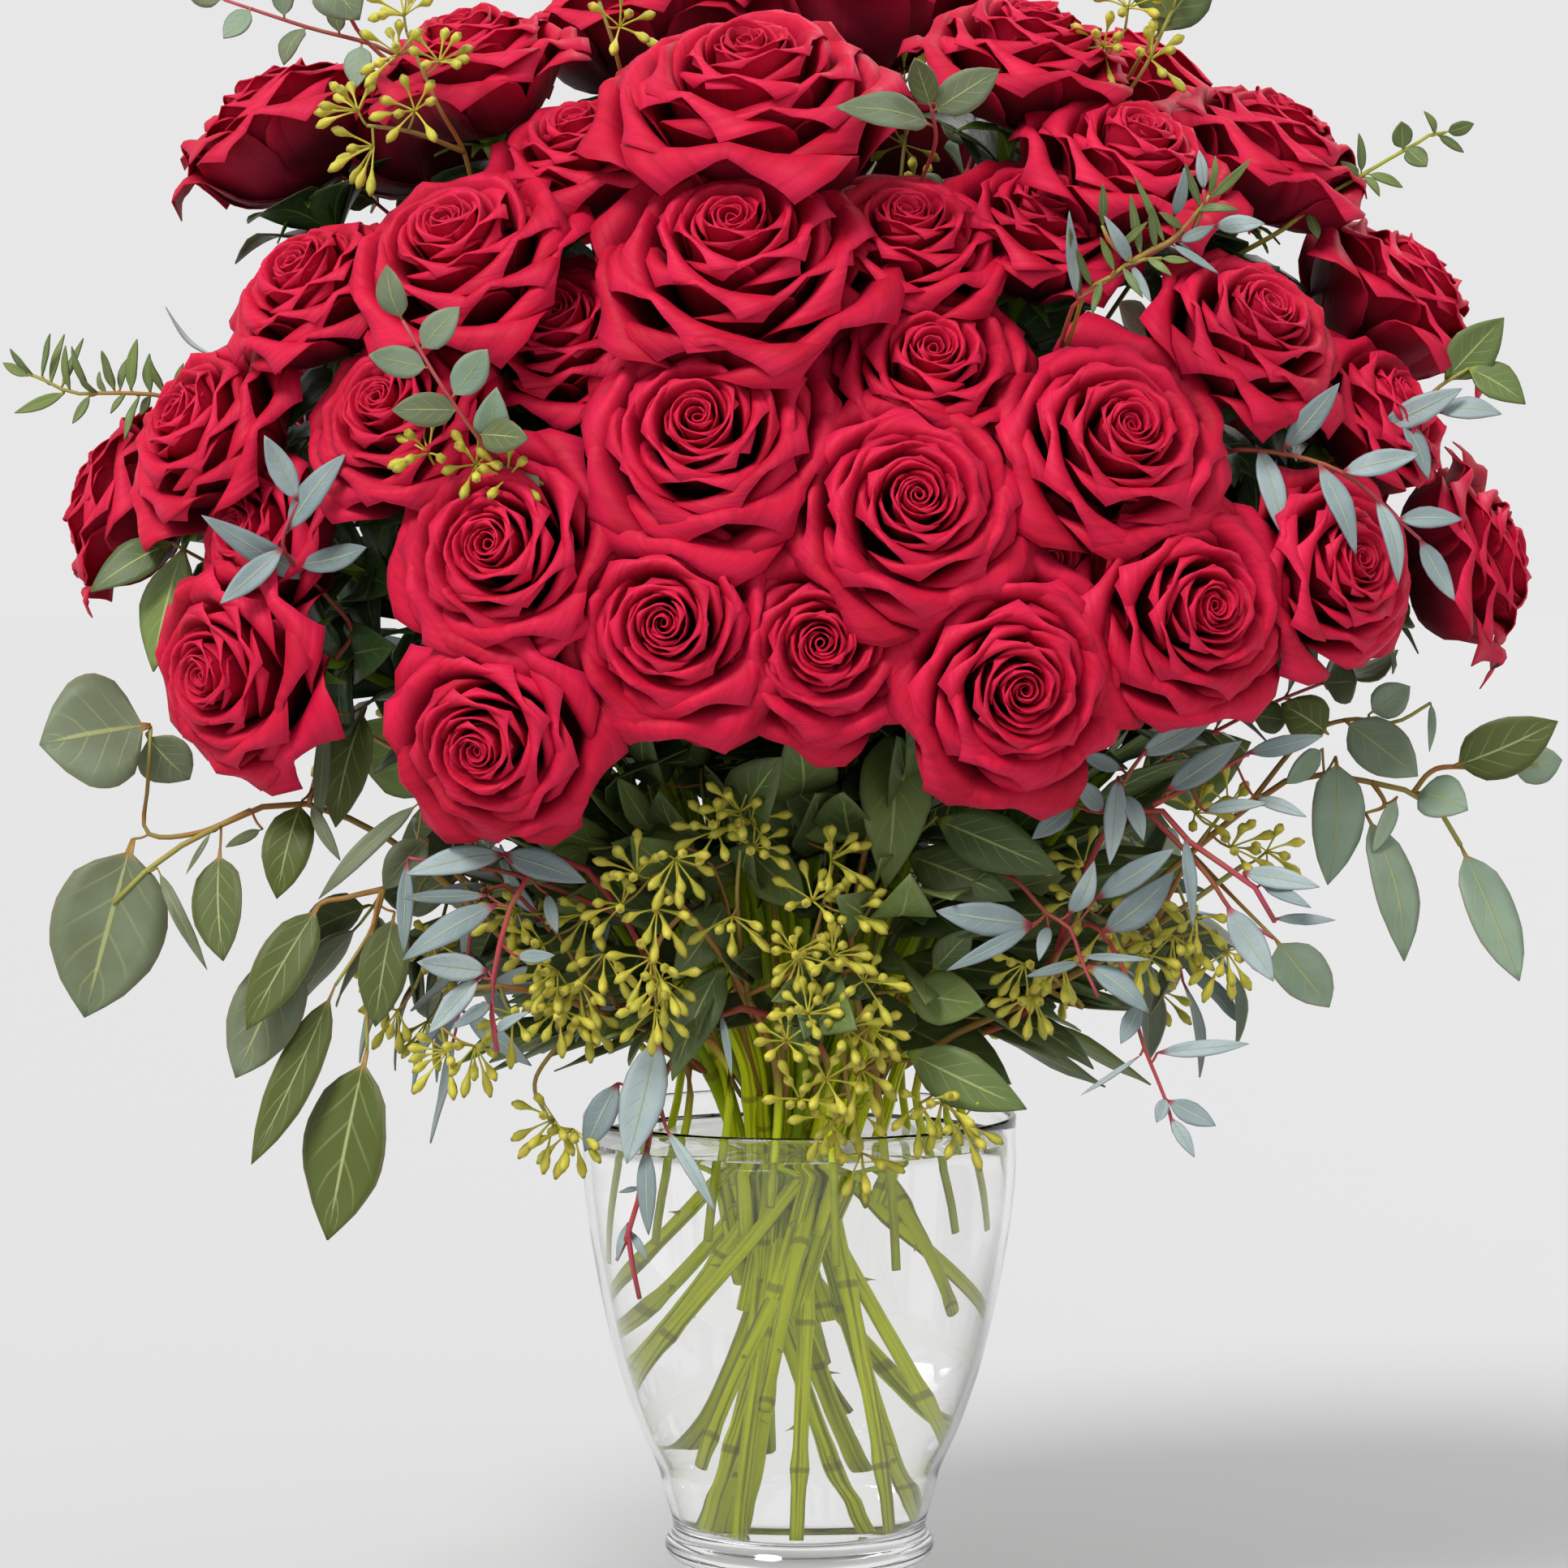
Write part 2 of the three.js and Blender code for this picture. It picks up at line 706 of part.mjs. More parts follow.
/** Stalk of a spray, from the glass that it leans on to its place in the mouth. */
function stalkOf(degrees) {
  const bearing = THREE.MathUtils.degToRad(degrees);
  const flat = (2 * Math.PI) / vaseSides;
  const offMiddle = bearing - flat * Math.round(bearing / flat);
  const height = within(stalkFeet, chance(degrees));
  const wall = insideRadius(height) * Math.cos(flat / 2) - stalkRadius - touchGap;
  return [
    ringPoint(wall / Math.cos(offMiddle), bearing, height),
    ringPoint(stalkMouthRadius, bearing, mouthLevel),
  ];
}

/** Plain hole for the part of a stem or stalk that is in the water, a little deeper than its foot. */
function holeFor([foot, mouth], radius, sides) {
  const below = foot.clone().sub(mouth).setLength(holeDepth).add(foot);
  return bar([below, mouth], radius + touchGap, sides);
}

/** Bloom with its base at the origin, facing +Y, its rings of petals waved by the profile. */
function bloomShape({ half, index }) {
  const rings = bloomProfile.map(([r, h]) => new THREE.Vector2(r * half, h * half));
  const top = new THREE.Vector2(0, bloomHeight * half);
  const geometry = new THREE.LatheGeometry([new THREE.Vector2(), ...rings, top], 2 * petalCount);
  const position = geometry.attributes.position;
  const ringCount = rings.length + 2;
  for (let i = 0; i < position.count; i += 1) {
    const ring = (i % ringCount) - 1;
    if (ring < 0 || ring >= rings.length) continue;
    const column = Math.floor(i / ringCount) % (2 * petalCount);
    const wave = bloomProfile[ring][2] * (column % 2 ? -1 : 1);
    const droop = 2 * petalDroop * half * (chance(7 * index + column + 10 * ring) - 0.5);
    const spread = 1 + wave;
    const lift = petalLift * wave * half + droop;
    position.setXYZ(i, position.getX(i) * spread, position.getY(i) + lift, position.getZ(i) * spread);
  }
  return geometry;
}

function bloomSolid(bloom) {
  const geometry = bloomShape(bloom);
  const face = new THREE.Vector3(Math.cos(2.4 * bloom.index), Math.sin(2.4 * bloom.index), 0.3);
  geometry.applyMatrix4(frameAt(bloom.base, bloom.facing, face));
  return solidOf(geometry);
}

const wholeBlooms = blooms.map((bloom) => bloomSolid(bloom));

/** Trims a bloom where it meets its neighbours, half way between them. */
function pressed(bloom) {
  let solid = wholeBlooms[bloom.index];
  for (const other of blooms) {
    const apart = other.centre.clone().sub(bloom.centre);
    const distance = apart.length();
    const near = other !== bloom && distance < 1.3 * (bloom.half + other.half);
    if (!near || wholeBlooms[bloom.index].intersect(wholeBlooms[other.index]).isEmpty()) continue;
    apart.normalize();
    const share = bloom.half / (bloom.half + other.half);
    const block = new THREE.BoxGeometry(300, 200, 300);
    const middle = bloom.centre.clone().addScaledVector(apart, distance * share - touchGap / 2 + 100);
    block.applyMatrix4(frameAt(middle, apart, bloom.facing));
    solid = solid.subtract(solidOf(block));
  }
  return solid;
}

const bouquet = new THREE.Group();
bouquet.add(meshOf('vase', vase(), surface(glassPale, 0.05)));

const coreBottom = crossing[0][1];
const core = turned([[0, coreBottom], ...crossing, [0, crossing.at(-1)[1]]], crossingSides);
const room = [coreBottom - holeDepth, mouthLevel].map((h) => [crossingRoom, h]);
const coreHole = turned([[0, room[0][1]], ...room, [0, mouthLevel]], crossingSides);
const holes = [
  coreHole,
  ...blooms.map((bloom) => holeFor(stemEnds(bloom), stemRadius, stemSides)),
  ...Object.values(outerSprays).map(({ bearing }) => holeFor(stalkOf(bearing), stalkRadius, 3)),
];
const water = wholeWater().subtract(joined(holes));
bouquet.add(meshOf('water', water, surface(waterPale, 0.02)));

const sprigRoot = ({ rose }) => stemJoints(blooms[rose - 1])[2];
const sprigs = (extra) => innerSprigs.map((plan) => spray(plan, [sprigRoot(plan)], extra));
const stems = joined([core, ...blooms.map((bloom) => roseStem(bloom)), ...sprigs(0)]);
bouquet.add(meshOf('rose_stems', stems, surface(stemGreen, 0.5)));

const stemRoom = joined([...blooms.map((bloom) => roseStem(bloom, touchGap)), ...sprigs(touchGap)]);
blooms.forEach((bloom) => {
  const name = `rose_${String(bloom.index + 1).padStart(2, '0')}`;
  bouquet.add(meshOf(name, pressed(bloom).subtract(stemRoom), surface(petalRed, 0.6)));
});
for (const [name, plan] of Object.entries(outerSprays)) {
  bouquet.add(meshOf(name, spray(plan, stalkOf(plan.bearing)), surface(plan.color, 0.6)));
}

export default bouquet;
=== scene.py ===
# Roses in a vase: petals, foliage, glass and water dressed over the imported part. The frame is in
# metres; the values below are in millimetres unless they say otherwise.
import math

import bpy
import numpy as np
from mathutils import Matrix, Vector


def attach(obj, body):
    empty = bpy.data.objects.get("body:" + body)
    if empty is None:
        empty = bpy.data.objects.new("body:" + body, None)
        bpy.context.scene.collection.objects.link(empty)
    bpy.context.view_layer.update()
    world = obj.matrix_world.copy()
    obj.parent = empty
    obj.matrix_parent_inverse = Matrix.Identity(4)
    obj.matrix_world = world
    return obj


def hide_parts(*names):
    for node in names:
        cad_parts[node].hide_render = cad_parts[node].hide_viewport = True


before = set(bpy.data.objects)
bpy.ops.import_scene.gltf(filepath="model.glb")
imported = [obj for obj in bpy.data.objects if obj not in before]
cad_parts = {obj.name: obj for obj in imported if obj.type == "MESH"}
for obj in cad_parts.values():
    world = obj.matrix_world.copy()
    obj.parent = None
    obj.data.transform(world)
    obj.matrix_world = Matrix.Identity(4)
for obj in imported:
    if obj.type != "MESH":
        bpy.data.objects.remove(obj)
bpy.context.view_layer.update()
mm = 0.001


# small tools

def chance(seed):
    # a repeatable number from 0 to 1 for a seed, or one for each of an array of them
    value = np.sin(np.asarray(seed, float) * 12.9898) * 43758.5453
    return value - np.floor(value)


def within(limits, share):
    return limits[0] + (limits[1] - limits[0]) * float(share)


def unit(vector):
    vector = np.asarray(vector, float)
    return vector / np.linalg.norm(vector)


def deselectAll():
    if bpy.context.mode != "OBJECT":
        bpy.ops.object.mode_set(mode="OBJECT")
    bpy.ops.object.select_all(action="DESELECT")


def makeActive(piece):
    deselectAll()
    piece.select_set(True)
    bpy.context.view_layer.objects.active = piece


def applyModifier(piece, kind, **settings):
    makeActive(piece)
    modifier = piece.modifiers.new(kind.lower(), kind)
    for name, value in settings.items():
        setattr(modifier, name, value)
    bpy.ops.object.modifier_apply(modifier=modifier.name)


def pointsOf(piece):
    points = np.empty(len(piece.data.vertices) * 3, np.float32)
    piece.data.vertices.foreach_get("co", points)
    return points.reshape(-1, 3).astype(float)


def movePoints(piece, points):
    piece.data.vertices.foreach_set("co", np.asarray(points, np.float32).ravel())
    piece.data.update()


def addValue(piece, name, values):
    # a number on each point, for a material to read
    attribute = piece.data.attributes.new(name, "FLOAT", "POINT")
    attribute.data.foreach_set("value", np.asarray(values, np.float32))


def copiesOf(stock, name, count):
    # a new piece of so many copies of a stock shape, stacked far apart, each in its own place later
    apart = 10
    piece = bpy.data.objects.new(name, stock.data.copy())
    bpy.context.scene.collection.objects.link(piece)
    if count > 1:
        applyModifier(piece, "ARRAY", count=count, use_relative_offset=False,
                      use_constant_offset=True, constant_offset_displace=(0, 0, apart))
    points = pointsOf(piece)
    number = np.rint(points[:, 2] / apart).astype(int)
    points[:, 2] -= apart * number
    return piece, number, points


def finishPiece(piece, slot, material, *replaced):
    makeActive(piece)
    bpy.ops.object.shade_smooth()
    piece.data.materials.clear()
    piece.data.materials.append(material)
    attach(piece, "root")
    if replaced:
        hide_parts(*replaced)


# stock shapes, each modelled once: a flat sheet for petals and leaves, and a bar for stems and seeds

def sheetStock(across, along):
    deselectAll()
    bpy.ops.mesh.primitive_grid_add(x_subdivisions=across, y_subdivisions=along, size=2)
    stock = bpy.context.object
    stock.name = f"sheetStock{across}"
    return stock


def selectEdges(piece, test):
    # leaves the piece in edit mode with only the edges selected whose two ends pass the test
    makeActive(piece)
    bpy.ops.object.mode_set(mode="EDIT")
    bpy.ops.mesh.select_mode(type="EDGE")
    bpy.ops.mesh.select_all(action="DESELECT")
    bpy.ops.object.mode_set(mode="OBJECT")
    for edge in piece.data.edges:
        edge.select = test(*[piece.data.vertices[i].co for i in edge.vertices])
    bpy.ops.object.mode_set(mode="EDIT")


def barStock(sides, rings):
    # a closed bar up Z from 0 to 1, its long edges cut into rings
    deselectAll()
    bpy.ops.mesh.primitive_cylinder_add(vertices=sides, radius=1, depth=1, location=(0, 0, 0.5))
    bpy.ops.object.transform_apply()
    stock = bpy.context.object
    stock.name = f"barStock{sides}x{rings}"
    selectEdges(stock, lambda first, second: abs(first.z - second.z) > 0.5)
    bpy.ops.mesh.subdivide(number_cuts=rings - 1)
    bpy.ops.object.mode_set(mode="OBJECT")
    return stock


def walked(path):
    # the distance from the start of a path to each of its points
    return np.concatenate([[0], np.cumsum(np.linalg.norm(np.diff(path, axis=0), axis=1))])


def smoothPath(joints, steps):
    # an even walk along a smooth line through the joints
    joints, between = np.asarray(joints, float), 12
    if len(joints) > 2:
        ends = np.vstack([2 * joints[0] - joints[1], joints, 2 * joints[-1] - joints[-2]])
        fine = []
        for a, b, c, d in zip(ends, ends[1:], ends[2:], ends[3:]):
            for t in np.linspace(0, 1, between, endpoint=False):
                fine.append(0.5 * (2 * b + (c - a) * t + (2 * a - 5 * b + 4 * c - d) * t**2
                                   + (3 * b - a - 3 * c + d) * t**3))
        joints = np.vstack([fine, joints[-1]])
    far = walked(joints)
    at = np.linspace(0, far[-1], steps + 1)
    return np.stack([np.interp(at, far, joints[:, i]) for i in range(3)], axis=1)


def alongBars(stock, name, rings, paths, radii, values=None):
    # bars along paths of rings + 1 points, with a radius at each point, in one piece. values holds
    # more numbers for the material, one for each point of each path
    piece, number, points = copiesOf(stock, name, len(paths))
    ring = np.rint(points[:, 2] * rings).astype(int)
    turn = np.arctan2(points[:, 1], points[:, 0])
    paths, radii = np.asarray(paths, float), np.asarray(radii, float)
    along = np.gradient(paths, axis=1)
    along /= np.linalg.norm(along, axis=2, keepdims=True)
    whole = paths[:, -1] - paths[:, 0]
    steep = np.abs(whole[:, 2]) > 0.7 * np.linalg.norm(whole, axis=1)
    side = np.where(steep[:, None], [[1.0, 0, 0]], [[0, 0, 1.0]])[:, None, :]
    x = np.cross(along, side)
    x /= np.linalg.norm(x, axis=2, keepdims=True)
    y = np.cross(along, x)
    out = np.cos(turn)[:, None] * x[number, ring] + np.sin(turn)[:, None] * y[number, ring]
    movePoints(piece, mm * (paths[number, ring] + radii[number, ring, None] * out))
    every = {"along": np.tile(np.linspace(0, 1, rings + 1), (len(paths), 1)), **(values or {})}
    for key, numbers in every.items():
        addValue(piece, key, np.asarray(numbers, float)[number, ring])
    addValue(piece, "turn", np.sin(turn))
    addValue(piece, "tone", chance(number + 0.5))
    return piece


# the fold is a share of a blade's half width, and the others are shares of its length
usualBlade = {"fold": 0.16, "arch": 0.1, "wave": 0.03, "curl": 0.0}


def blades(stock, name, plans, outline, thickness):
    # leaves or sepals that each go from a base to a tip, in one piece. A plan holds base, tip, width
    # and face, and may give its own fold, arch, wave and curl
    piece, number, points = copiesOf(stock, name, len(plans))
    u, v = points[:, 0], (points[:, 1] + 1) / 2
    base = np.array([plan["base"] for plan in plans], float)
    along = np.array([plan["tip"] for plan in plans], float) - base
    face = np.array([plan["face"] for plan in plans], float)
    width = np.array([plan["width"] for plan in plans], float)[number]
    fold, arch, wave, curl = [np.array([plan.get(key, usual) for plan in plans], float)[number]
                              for key, usual in usualBlade.items()]
    length = np.linalg.norm(along, axis=1)
    y = along / length[:, None]
    x = np.cross(y, face)
    x /= np.linalg.norm(x, axis=1, keepdims=True)
    z = np.cross(x, y)
    far = length[number]
    half = np.interp(v, outline[0], outline[1]) * width / 2
    across = u * half
    phase = 6.3 * chance(number + 0.3)
    lift = arch * far * np.sin(np.pi * v) + fold * np.abs(across) - curl * far * v**3
    lift += wave * far * np.abs(u) * np.sin(7 * v + phase + np.where(u > 0, 0, 1.9)) * np.sin(np.pi * v)
    place = (base[number] + across[:, None] * x[number] + (v * far)[:, None] * y[number]
             + lift[:, None] * z[number])
    movePoints(piece, mm * place)
    tones = np.array([plan.get("tone", chance(i + 11.5)) for i, plan in enumerate(plans)])
    addValue(piece, "tone", tones[number])
    applyModifier(piece, "SOLIDIFY", thickness=mm * thickness, offset=0)
    return piece


def turned(name, profile, steps):
    # a disc drawn up, in or out through the profile's points of radius and height, closed at both ends
    deselectAll()
    radius, height = profile[0]
    bpy.ops.mesh.primitive_circle_add(vertices=steps, radius=mm * radius, fill_type="NGON",
                                      location=(0, 0, mm * height))
    piece = bpy.context.object
    piece.name = name
    bpy.ops.object.transform_apply()
    bpy.ops.object.mode_set(mode="EDIT")
    bpy.ops.mesh.select_mode(type="FACE")
    bpy.ops.mesh.select_all(action="SELECT")
    for (radius, height), (nextRadius, nextHeight) in zip(profile, profile[1:]):
        rise = (0, 0, mm * (nextHeight - height))
        bpy.ops.mesh.extrude_region_move(TRANSFORM_OT_translate={"value": rise})
        scale = nextRadius / radius
        bpy.ops.transform.resize(value=(scale, scale, 1), center_override=(0, 0, 0))
    bpy.ops.mesh.select_all(action="SELECT")
    bpy.ops.mesh.normals_make_consistent(inside=False)
    bpy.ops.object.mode_set(mode="OBJECT")
    return piece


# shader maths as Python expressions

class Link:
    def __init__(self, paint, socket):
        self.paint, self.socket = paint, socket

    def math(self, operation, *values):
        return self.paint.node("ShaderNodeMath", {"operation": operation}, dict(enumerate(values)))

    def __add__(self, other):
        return self.math("ADD", self, other)

    def __radd__(self, other):
        return self.math("ADD", other, self)

    def __sub__(self, other):
        return self.math("SUBTRACT", self, other)

    def __rsub__(self, other):
        return self.math("SUBTRACT", other, self)

    def __mul__(self, other):
        return self.math("MULTIPLY", self, other)

    def __rmul__(self, other):
        return self.math("MULTIPLY", other, self)

    def sine(self):
        return self.math("SINE", self)

    def size(self):
        return self.math("ABSOLUTE", self)


class Paint:
    # a material and the one method that adds any of its nodes
    def __init__(self, name):
        self.material = bpy.data.materials.new(name)
        self.material.use_nodes = True
        self.tree = self.material.node_tree
        self.tree.nodes.clear()

    def node(self, kind, settings=None, sockets=None, output=0):
        added = self.tree.nodes.new(kind)
        for name, value in (settings or {}).items():
            setattr(added, name, value)
        for name, value in (sockets or {}).items():
            if isinstance(value, Link):
                self.tree.links.new(value.socket, added.inputs[name])
            else:
                added.inputs[name].default_value = value
        return Link(self, added.outputs[output]) if added.outputs else added

    def attribute(self, name):
        return self.node("ShaderNodeAttribute", {"attribute_name": name}, output="Fac")

    def uv(self):
        split = self.node("ShaderNodeSeparateXYZ", {}, {0: self.node("ShaderNodeTexCoord", output="UV")})
        return split, Link(self, split.socket.node.outputs[1])

    def vector(self, x, y, z):
        return self.node("ShaderNodeCombineXYZ", {}, {0: x, 1: y, 2: z})

    def place(self):
        return self.node("ShaderNodeTexCoord", output="Object")

    def noise(self, place, scale, detail=2.0):
        return self.node("ShaderNodeTexNoise", {}, {"Vector": place, "Scale": scale, "Detail": detail})

    def smooth(self, value, low, high, toLow=0.0, toHigh=1.0):
        return self.node("ShaderNodeMapRange", {"interpolation_type": "SMOOTHSTEP"}, {
            "Value": value, "From Min": low, "From Max": high, "To Min": toLow, "To Max": toHigh})

    def mix(self, share, first, second):
        return self.node("ShaderNodeMix", {"data_type": "RGBA"}, {0: share, 6: first, 7: second}, output=2)

    def bump(self, height, distance, strength):
        return self.node("ShaderNodeBump", {}, {
            "Height": height, "Distance": distance, "Strength": strength})

    def surface(self, sockets):
        shader = self.node("ShaderNodeBsdfPrincipled", {}, sockets)
        self.node("ShaderNodeOutputMaterial", {}, {"Surface": shader})
        return self.material


def linear(part):
    return part / 12.92 if part <= 0.04045 else ((part + 0.055) / 1.055) ** 2.4


def shade(code):
    # a display colour, as the linear one that a shader takes
    return (*[linear(int(code[i:i + 2], 16) / 255) for i in (0, 2, 4)], 1.0)


wholeTurn = 6.2832  # in radians


# finishes

def petalFinish(look):
    paint = Paint("rosePetal")
    u, v = paint.uv()
    tone = paint.attribute("tone")
    veins = paint.noise(paint.vector(u * look["veinsAcross"], v * 3.0, tone * 40.0), 1.0, 3.0)
    blush = paint.noise(paint.place(), look["blush"], 2.0)
    body = paint.mix(tone, shade(look["crimson"]), shade(look["scarlet"]))
    # painted shade: each petal darkens to near black towards its foot, where it lies in the shade of the
    # petals round it
    body = paint.mix(paint.smooth(v, 0.86, 0.35, 0.0, 0.9), body, shade(look["heart"]))
    body = paint.mix(paint.smooth(v, 0.88, 1.0, 0.0, 0.6), body, shade(look["rim"]))
    body = paint.mix(paint.smooth(veins, 0.35, 0.75, 0.0, 0.22), body, shade(look["heart"]))
    body = paint.mix(paint.smooth(blush, 0.4, 0.75, 0.0, 0.3), body, shade(look["rim"]))
    velvet = paint.noise(paint.place(), look["velvet"], 2.0)
    height = veins * 0.7 + velvet * 0.3
    return paint.surface({"Base Color": body, "Roughness": 0.52 + veins * 0.2, "Sheen Weight": 0.05,
                          "Sheen Roughness": 0.4, "Sheen Tint": shade(look["sheen"]),
                          "Specular IOR Level": 0.18, "Normal": paint.bump(height, 0.0004, 0.6)})


def leafFinish(name, look):
    # midrib and side veins on a blade's own map, waxy cloud and a red or yellow foot
    paint = Paint(name)
    u, v = paint.uv()
    tone = paint.attribute("tone")
    side = (u - 0.5).size() * 2.0
    cloud = paint.noise(paint.place(), 45.0, 4.0)
    fine = paint.noise(paint.place(), 900.0, 2.0)
    body = paint.mix(paint.smooth(tone, 0.0, 0.5), shade(look["dark"]), shade(look["middle"]))
    body = paint.mix(paint.smooth(tone, 0.5, 1.0), body, shade(look["light"]))
    body = paint.mix(paint.smooth(cloud, 0.4, 0.68, 0.0, look["wax"]) * tone, body, shade(look["bloom"]))
    ribs = ((v * look["ribs"] - side * look["slant"] + tone * 9.0) * wholeTurn).sine()
    ribMask = paint.smooth(ribs, 0.86, 1.0, 0.0, 0.3) * paint.smooth(side, 1.0, 0.3)
    body = paint.mix(ribMask, body, shade(look["rib"]))
    midrib = paint.smooth(side, look["midrib"], look["midrib"] * 0.35)
    body = paint.mix(midrib * paint.smooth(v, 1.0, 0.7), body, shade(look["rib"]))
    body = paint.mix(paint.smooth(v, 0.14, 0.05), body, shade(look["foot"]))
    body = paint.mix(paint.smooth(side, 0.9, 1.0, 0.0, 0.5), body, shade(look["edge"]))
    height = midrib * 0.8 - ribMask * 0.8 + fine * 0.15
    return paint.surface({"Base Color": body, "Roughness": look["rough"] + cloud * 0.15,
                          "Specular IOR Level": 0.3, "Normal": paint.bump(height, 0.0005, 0.6)})


def barkFinish(name, look):
    # skin of stems, twigs and seeds: streaks along, freckles, and another colour at the far end. Feet in the
    # water are painted paler and brighter, painted light for the light that the glass keeps out; on the rose
    # stems the streaks are partly painted shade
    look = {"stripes": 1.0, "streaked": 0.3, **look}
    paint = Paint(name)
    along, tone, turn = [paint.attribute(name) for name in ("along", "tone", "turn")]
    skin = paint.vector(along * look["streaks"], tone * 60.0, turn * look["stripes"])
    streak = paint.noise(skin, 1.0, 3.0)
    cloud = paint.noise(paint.place(), look["cloud"], 3.0)
    body = paint.mix(tone, shade(look["first"]), shade(look["second"]))
    body = paint.mix(paint.smooth(cloud, 0.45, 0.7, 0.0, look["patches"]), body, shade(look["patch"]))
    body = paint.mix(paint.smooth(along, look["tipFrom"], 1.0), body, shade(look["tip"]))
    # painted light: a stem or twig is paler and brighter at its foot, where it stands in the water, for the
    # light that the glass and water keep out
    if "root" in look:
        paintedLightMask = paint.smooth(along, look["rootTo"], 0.6 * look["rootTo"])
        body = paint.mix(paintedLightMask, body, shade(look["root"]))
    # streaks along and round the skin: on the rose stems, strong and striped round, they are partly the
    # skin's own streaks and partly painted shade, the light and dark bands that light would lay along them
    body = paint.mix(paint.smooth(streak, 0.48, 0.66, 0.0, look["streaked"]), body, shade(look["patch"]))
    if "scar" in look:
        # a narrow dark ring round each knuckle
        ring = (paint.attribute("knuckle") * wholeTurn - wholeTurn / 4).sine()
        body = paint.mix(paint.smooth(ring, 0.985, 0.999, 0.0, 0.5), body, shade(look["scar"]))
    return paint.surface({"Base Color": body, "Roughness": look["rough"] + cloud * 0.15,
                          "Specular IOR Level": 0.25, "Normal": paint.bump(cloud, 0.0004, 0.5)})


def clearFinish(name, ior, ripple):
    # pressed glass or still water, with the faint ripple that bends what stands behind it
    paint = Paint(name)
    ripples = paint.noise(paint.place(), 22.0, 2.0)
    return paint.surface({"Base Color": (1.0, 1.0, 1.0, 1.0), "Roughness": 0.0, "IOR": ior,
                          "Transmission Weight": 1.0, "Normal": paint.bump(ripples, ripple, 0.4)})


finishes = {
    "petal": petalFinish({
        # heart is painted shade, near black, for the petals' feet; the veins also take this colour
        "crimson": "b0062a", "scarlet": "c60b36", "heart": "22010a", "rim": "dc2450", "sheen": "ff6078",
        "veinsAcross": 26.0, "blush": 30.0, "velvet": 1400.0}),
    "silverLeaf": leafFinish("silverLeaf", {
        "dark": "49541a", "middle": "616a4e", "light": "788d78", "bloom": "98a892", "wax": 0.35,
        "rib": "949a66", "ribs": 5.0, "slant": 1.6, "midrib": 0.06, "foot": "a07c40", "edge": "84745c",
        "rough": 0.45}),
    "oliveLeaf": leafFinish("oliveLeaf", {
        "dark": "3f4f2c", "middle": "53643a", "light": "66783c", "bloom": "7c8a58", "wax": 0.35,
        "rib": "94a060", "ribs": 6.0, "slant": 1.8, "midrib": 0.07, "foot": "7c8a3a", "edge": "5c5a34",
        "rough": 0.38}),
    "willowLeaf": leafFinish("willowLeaf", {
        "dark": "62716f", "middle": "78888a", "light": "93a3a4", "bloom": "aab6b4", "wax": 0.5,
        "rib": "98a48e", "ribs": 7.0, "slant": 1.2, "midrib": 0.1, "foot": "93404a", "edge": "77606a",
        "rough": 0.45}),
    "roseLeaf": leafFinish("roseLeaf", {
        "dark": "24381f", "middle": "304926", "light": "3d5a2a", "bloom": "4d6636", "wax": 0.3,
        "rib": "6d8448", "ribs": 8.0, "slant": 1.5, "midrib": 0.06, "foot": "5a6a30", "edge": "4c3c28",
        "rough": 0.36}),
    "stem": barkFinish("stemSkin", {
        "first": "aac406", "second": "86a80c", "patch": "6c7410", "patches": 0.35, "cloud": 26.0,
        # root is painted light, paler and brighter where the stems stand in the water; the strong stripes
        # are partly painted shade
        "streaks": 5.0, "stripes": 2.6, "streaked": 0.75, "root": "ecf808", "rootTo": 0.42,
        "scar": "6a5a1c", "tip": "6f9028", "tipFrom": 0.8, "rough": 0.34}),
    "thorn": barkFinish("thornSkin", {
        "first": "d0d43c", "second": "c8b83c", "patch": "b89a3c", "patches": 0.4, "cloud": 200.0,
        "streaks": 3.0, "tip": "c08a4c", "tipFrom": 0.5, "rough": 0.4}),
    "sepal": barkFinish("sepalSkin", {
        "first": "64802c", "second": "557026", "patch": "3f5520", "patches": 0.4, "cloud": 120.0,
        "streaks": 4.0, "tip": "6d7a34", "tipFrom": 0.6, "rough": 0.5}),
    "seed": barkFinish("seedSkin", {
        "first": "ccbf48", "second": "b2ab3e", "patch": "7c8a2a", "patches": 0.35, "cloud": 160.0,
        "streaks": 3.0, "tip": "94803a", "tipFrom": 0.92, "rough": 0.35}),
    "redTwig": barkFinish("redTwig", {
        "first": "a52f3c", "second": "8d3f34", "patch": "8a6a3c", "patches": 0.5, "cloud": 60.0,
        # root is painted light, paler and brighter where the twig stands in the water
        "streaks": 9.0, "root": "dcec28", "rootTo": 0.34, "tip": "b0485a", "tipFrom": 0.8, "rough": 0.45}),
    "brownTwig": barkFinish("brownTwig", {
        "first": "a0763c", "second": "7f7a3a", "patch": "a4552f", "patches": 0.5, "cloud": 60.0,
        # root is painted light, paler and brighter where the twig stands in the water
        "streaks": 9.0, "root": "dcec28", "rootTo": 0.34, "tip": "94984c", "tipFrom": 0.8, "rough": 0.5}),
    "seedTwig": barkFinish("seedTwig", {
        "first": "8f9a34", "second": "9a7a3c", "patch": "94512f", "patches": 0.5, "cloud": 60.0,
        "streaks": 6.0, "tip": "a0a43c", "tipFrom": 0.6, "rough": 0.45}),
    "glass": clearFinish("clearGlass", 1.42, 0.0004),
    "water": clearFinish("clearWater", 1.333, 0.0002),
}
print("finishes are mixed")


# vase and water

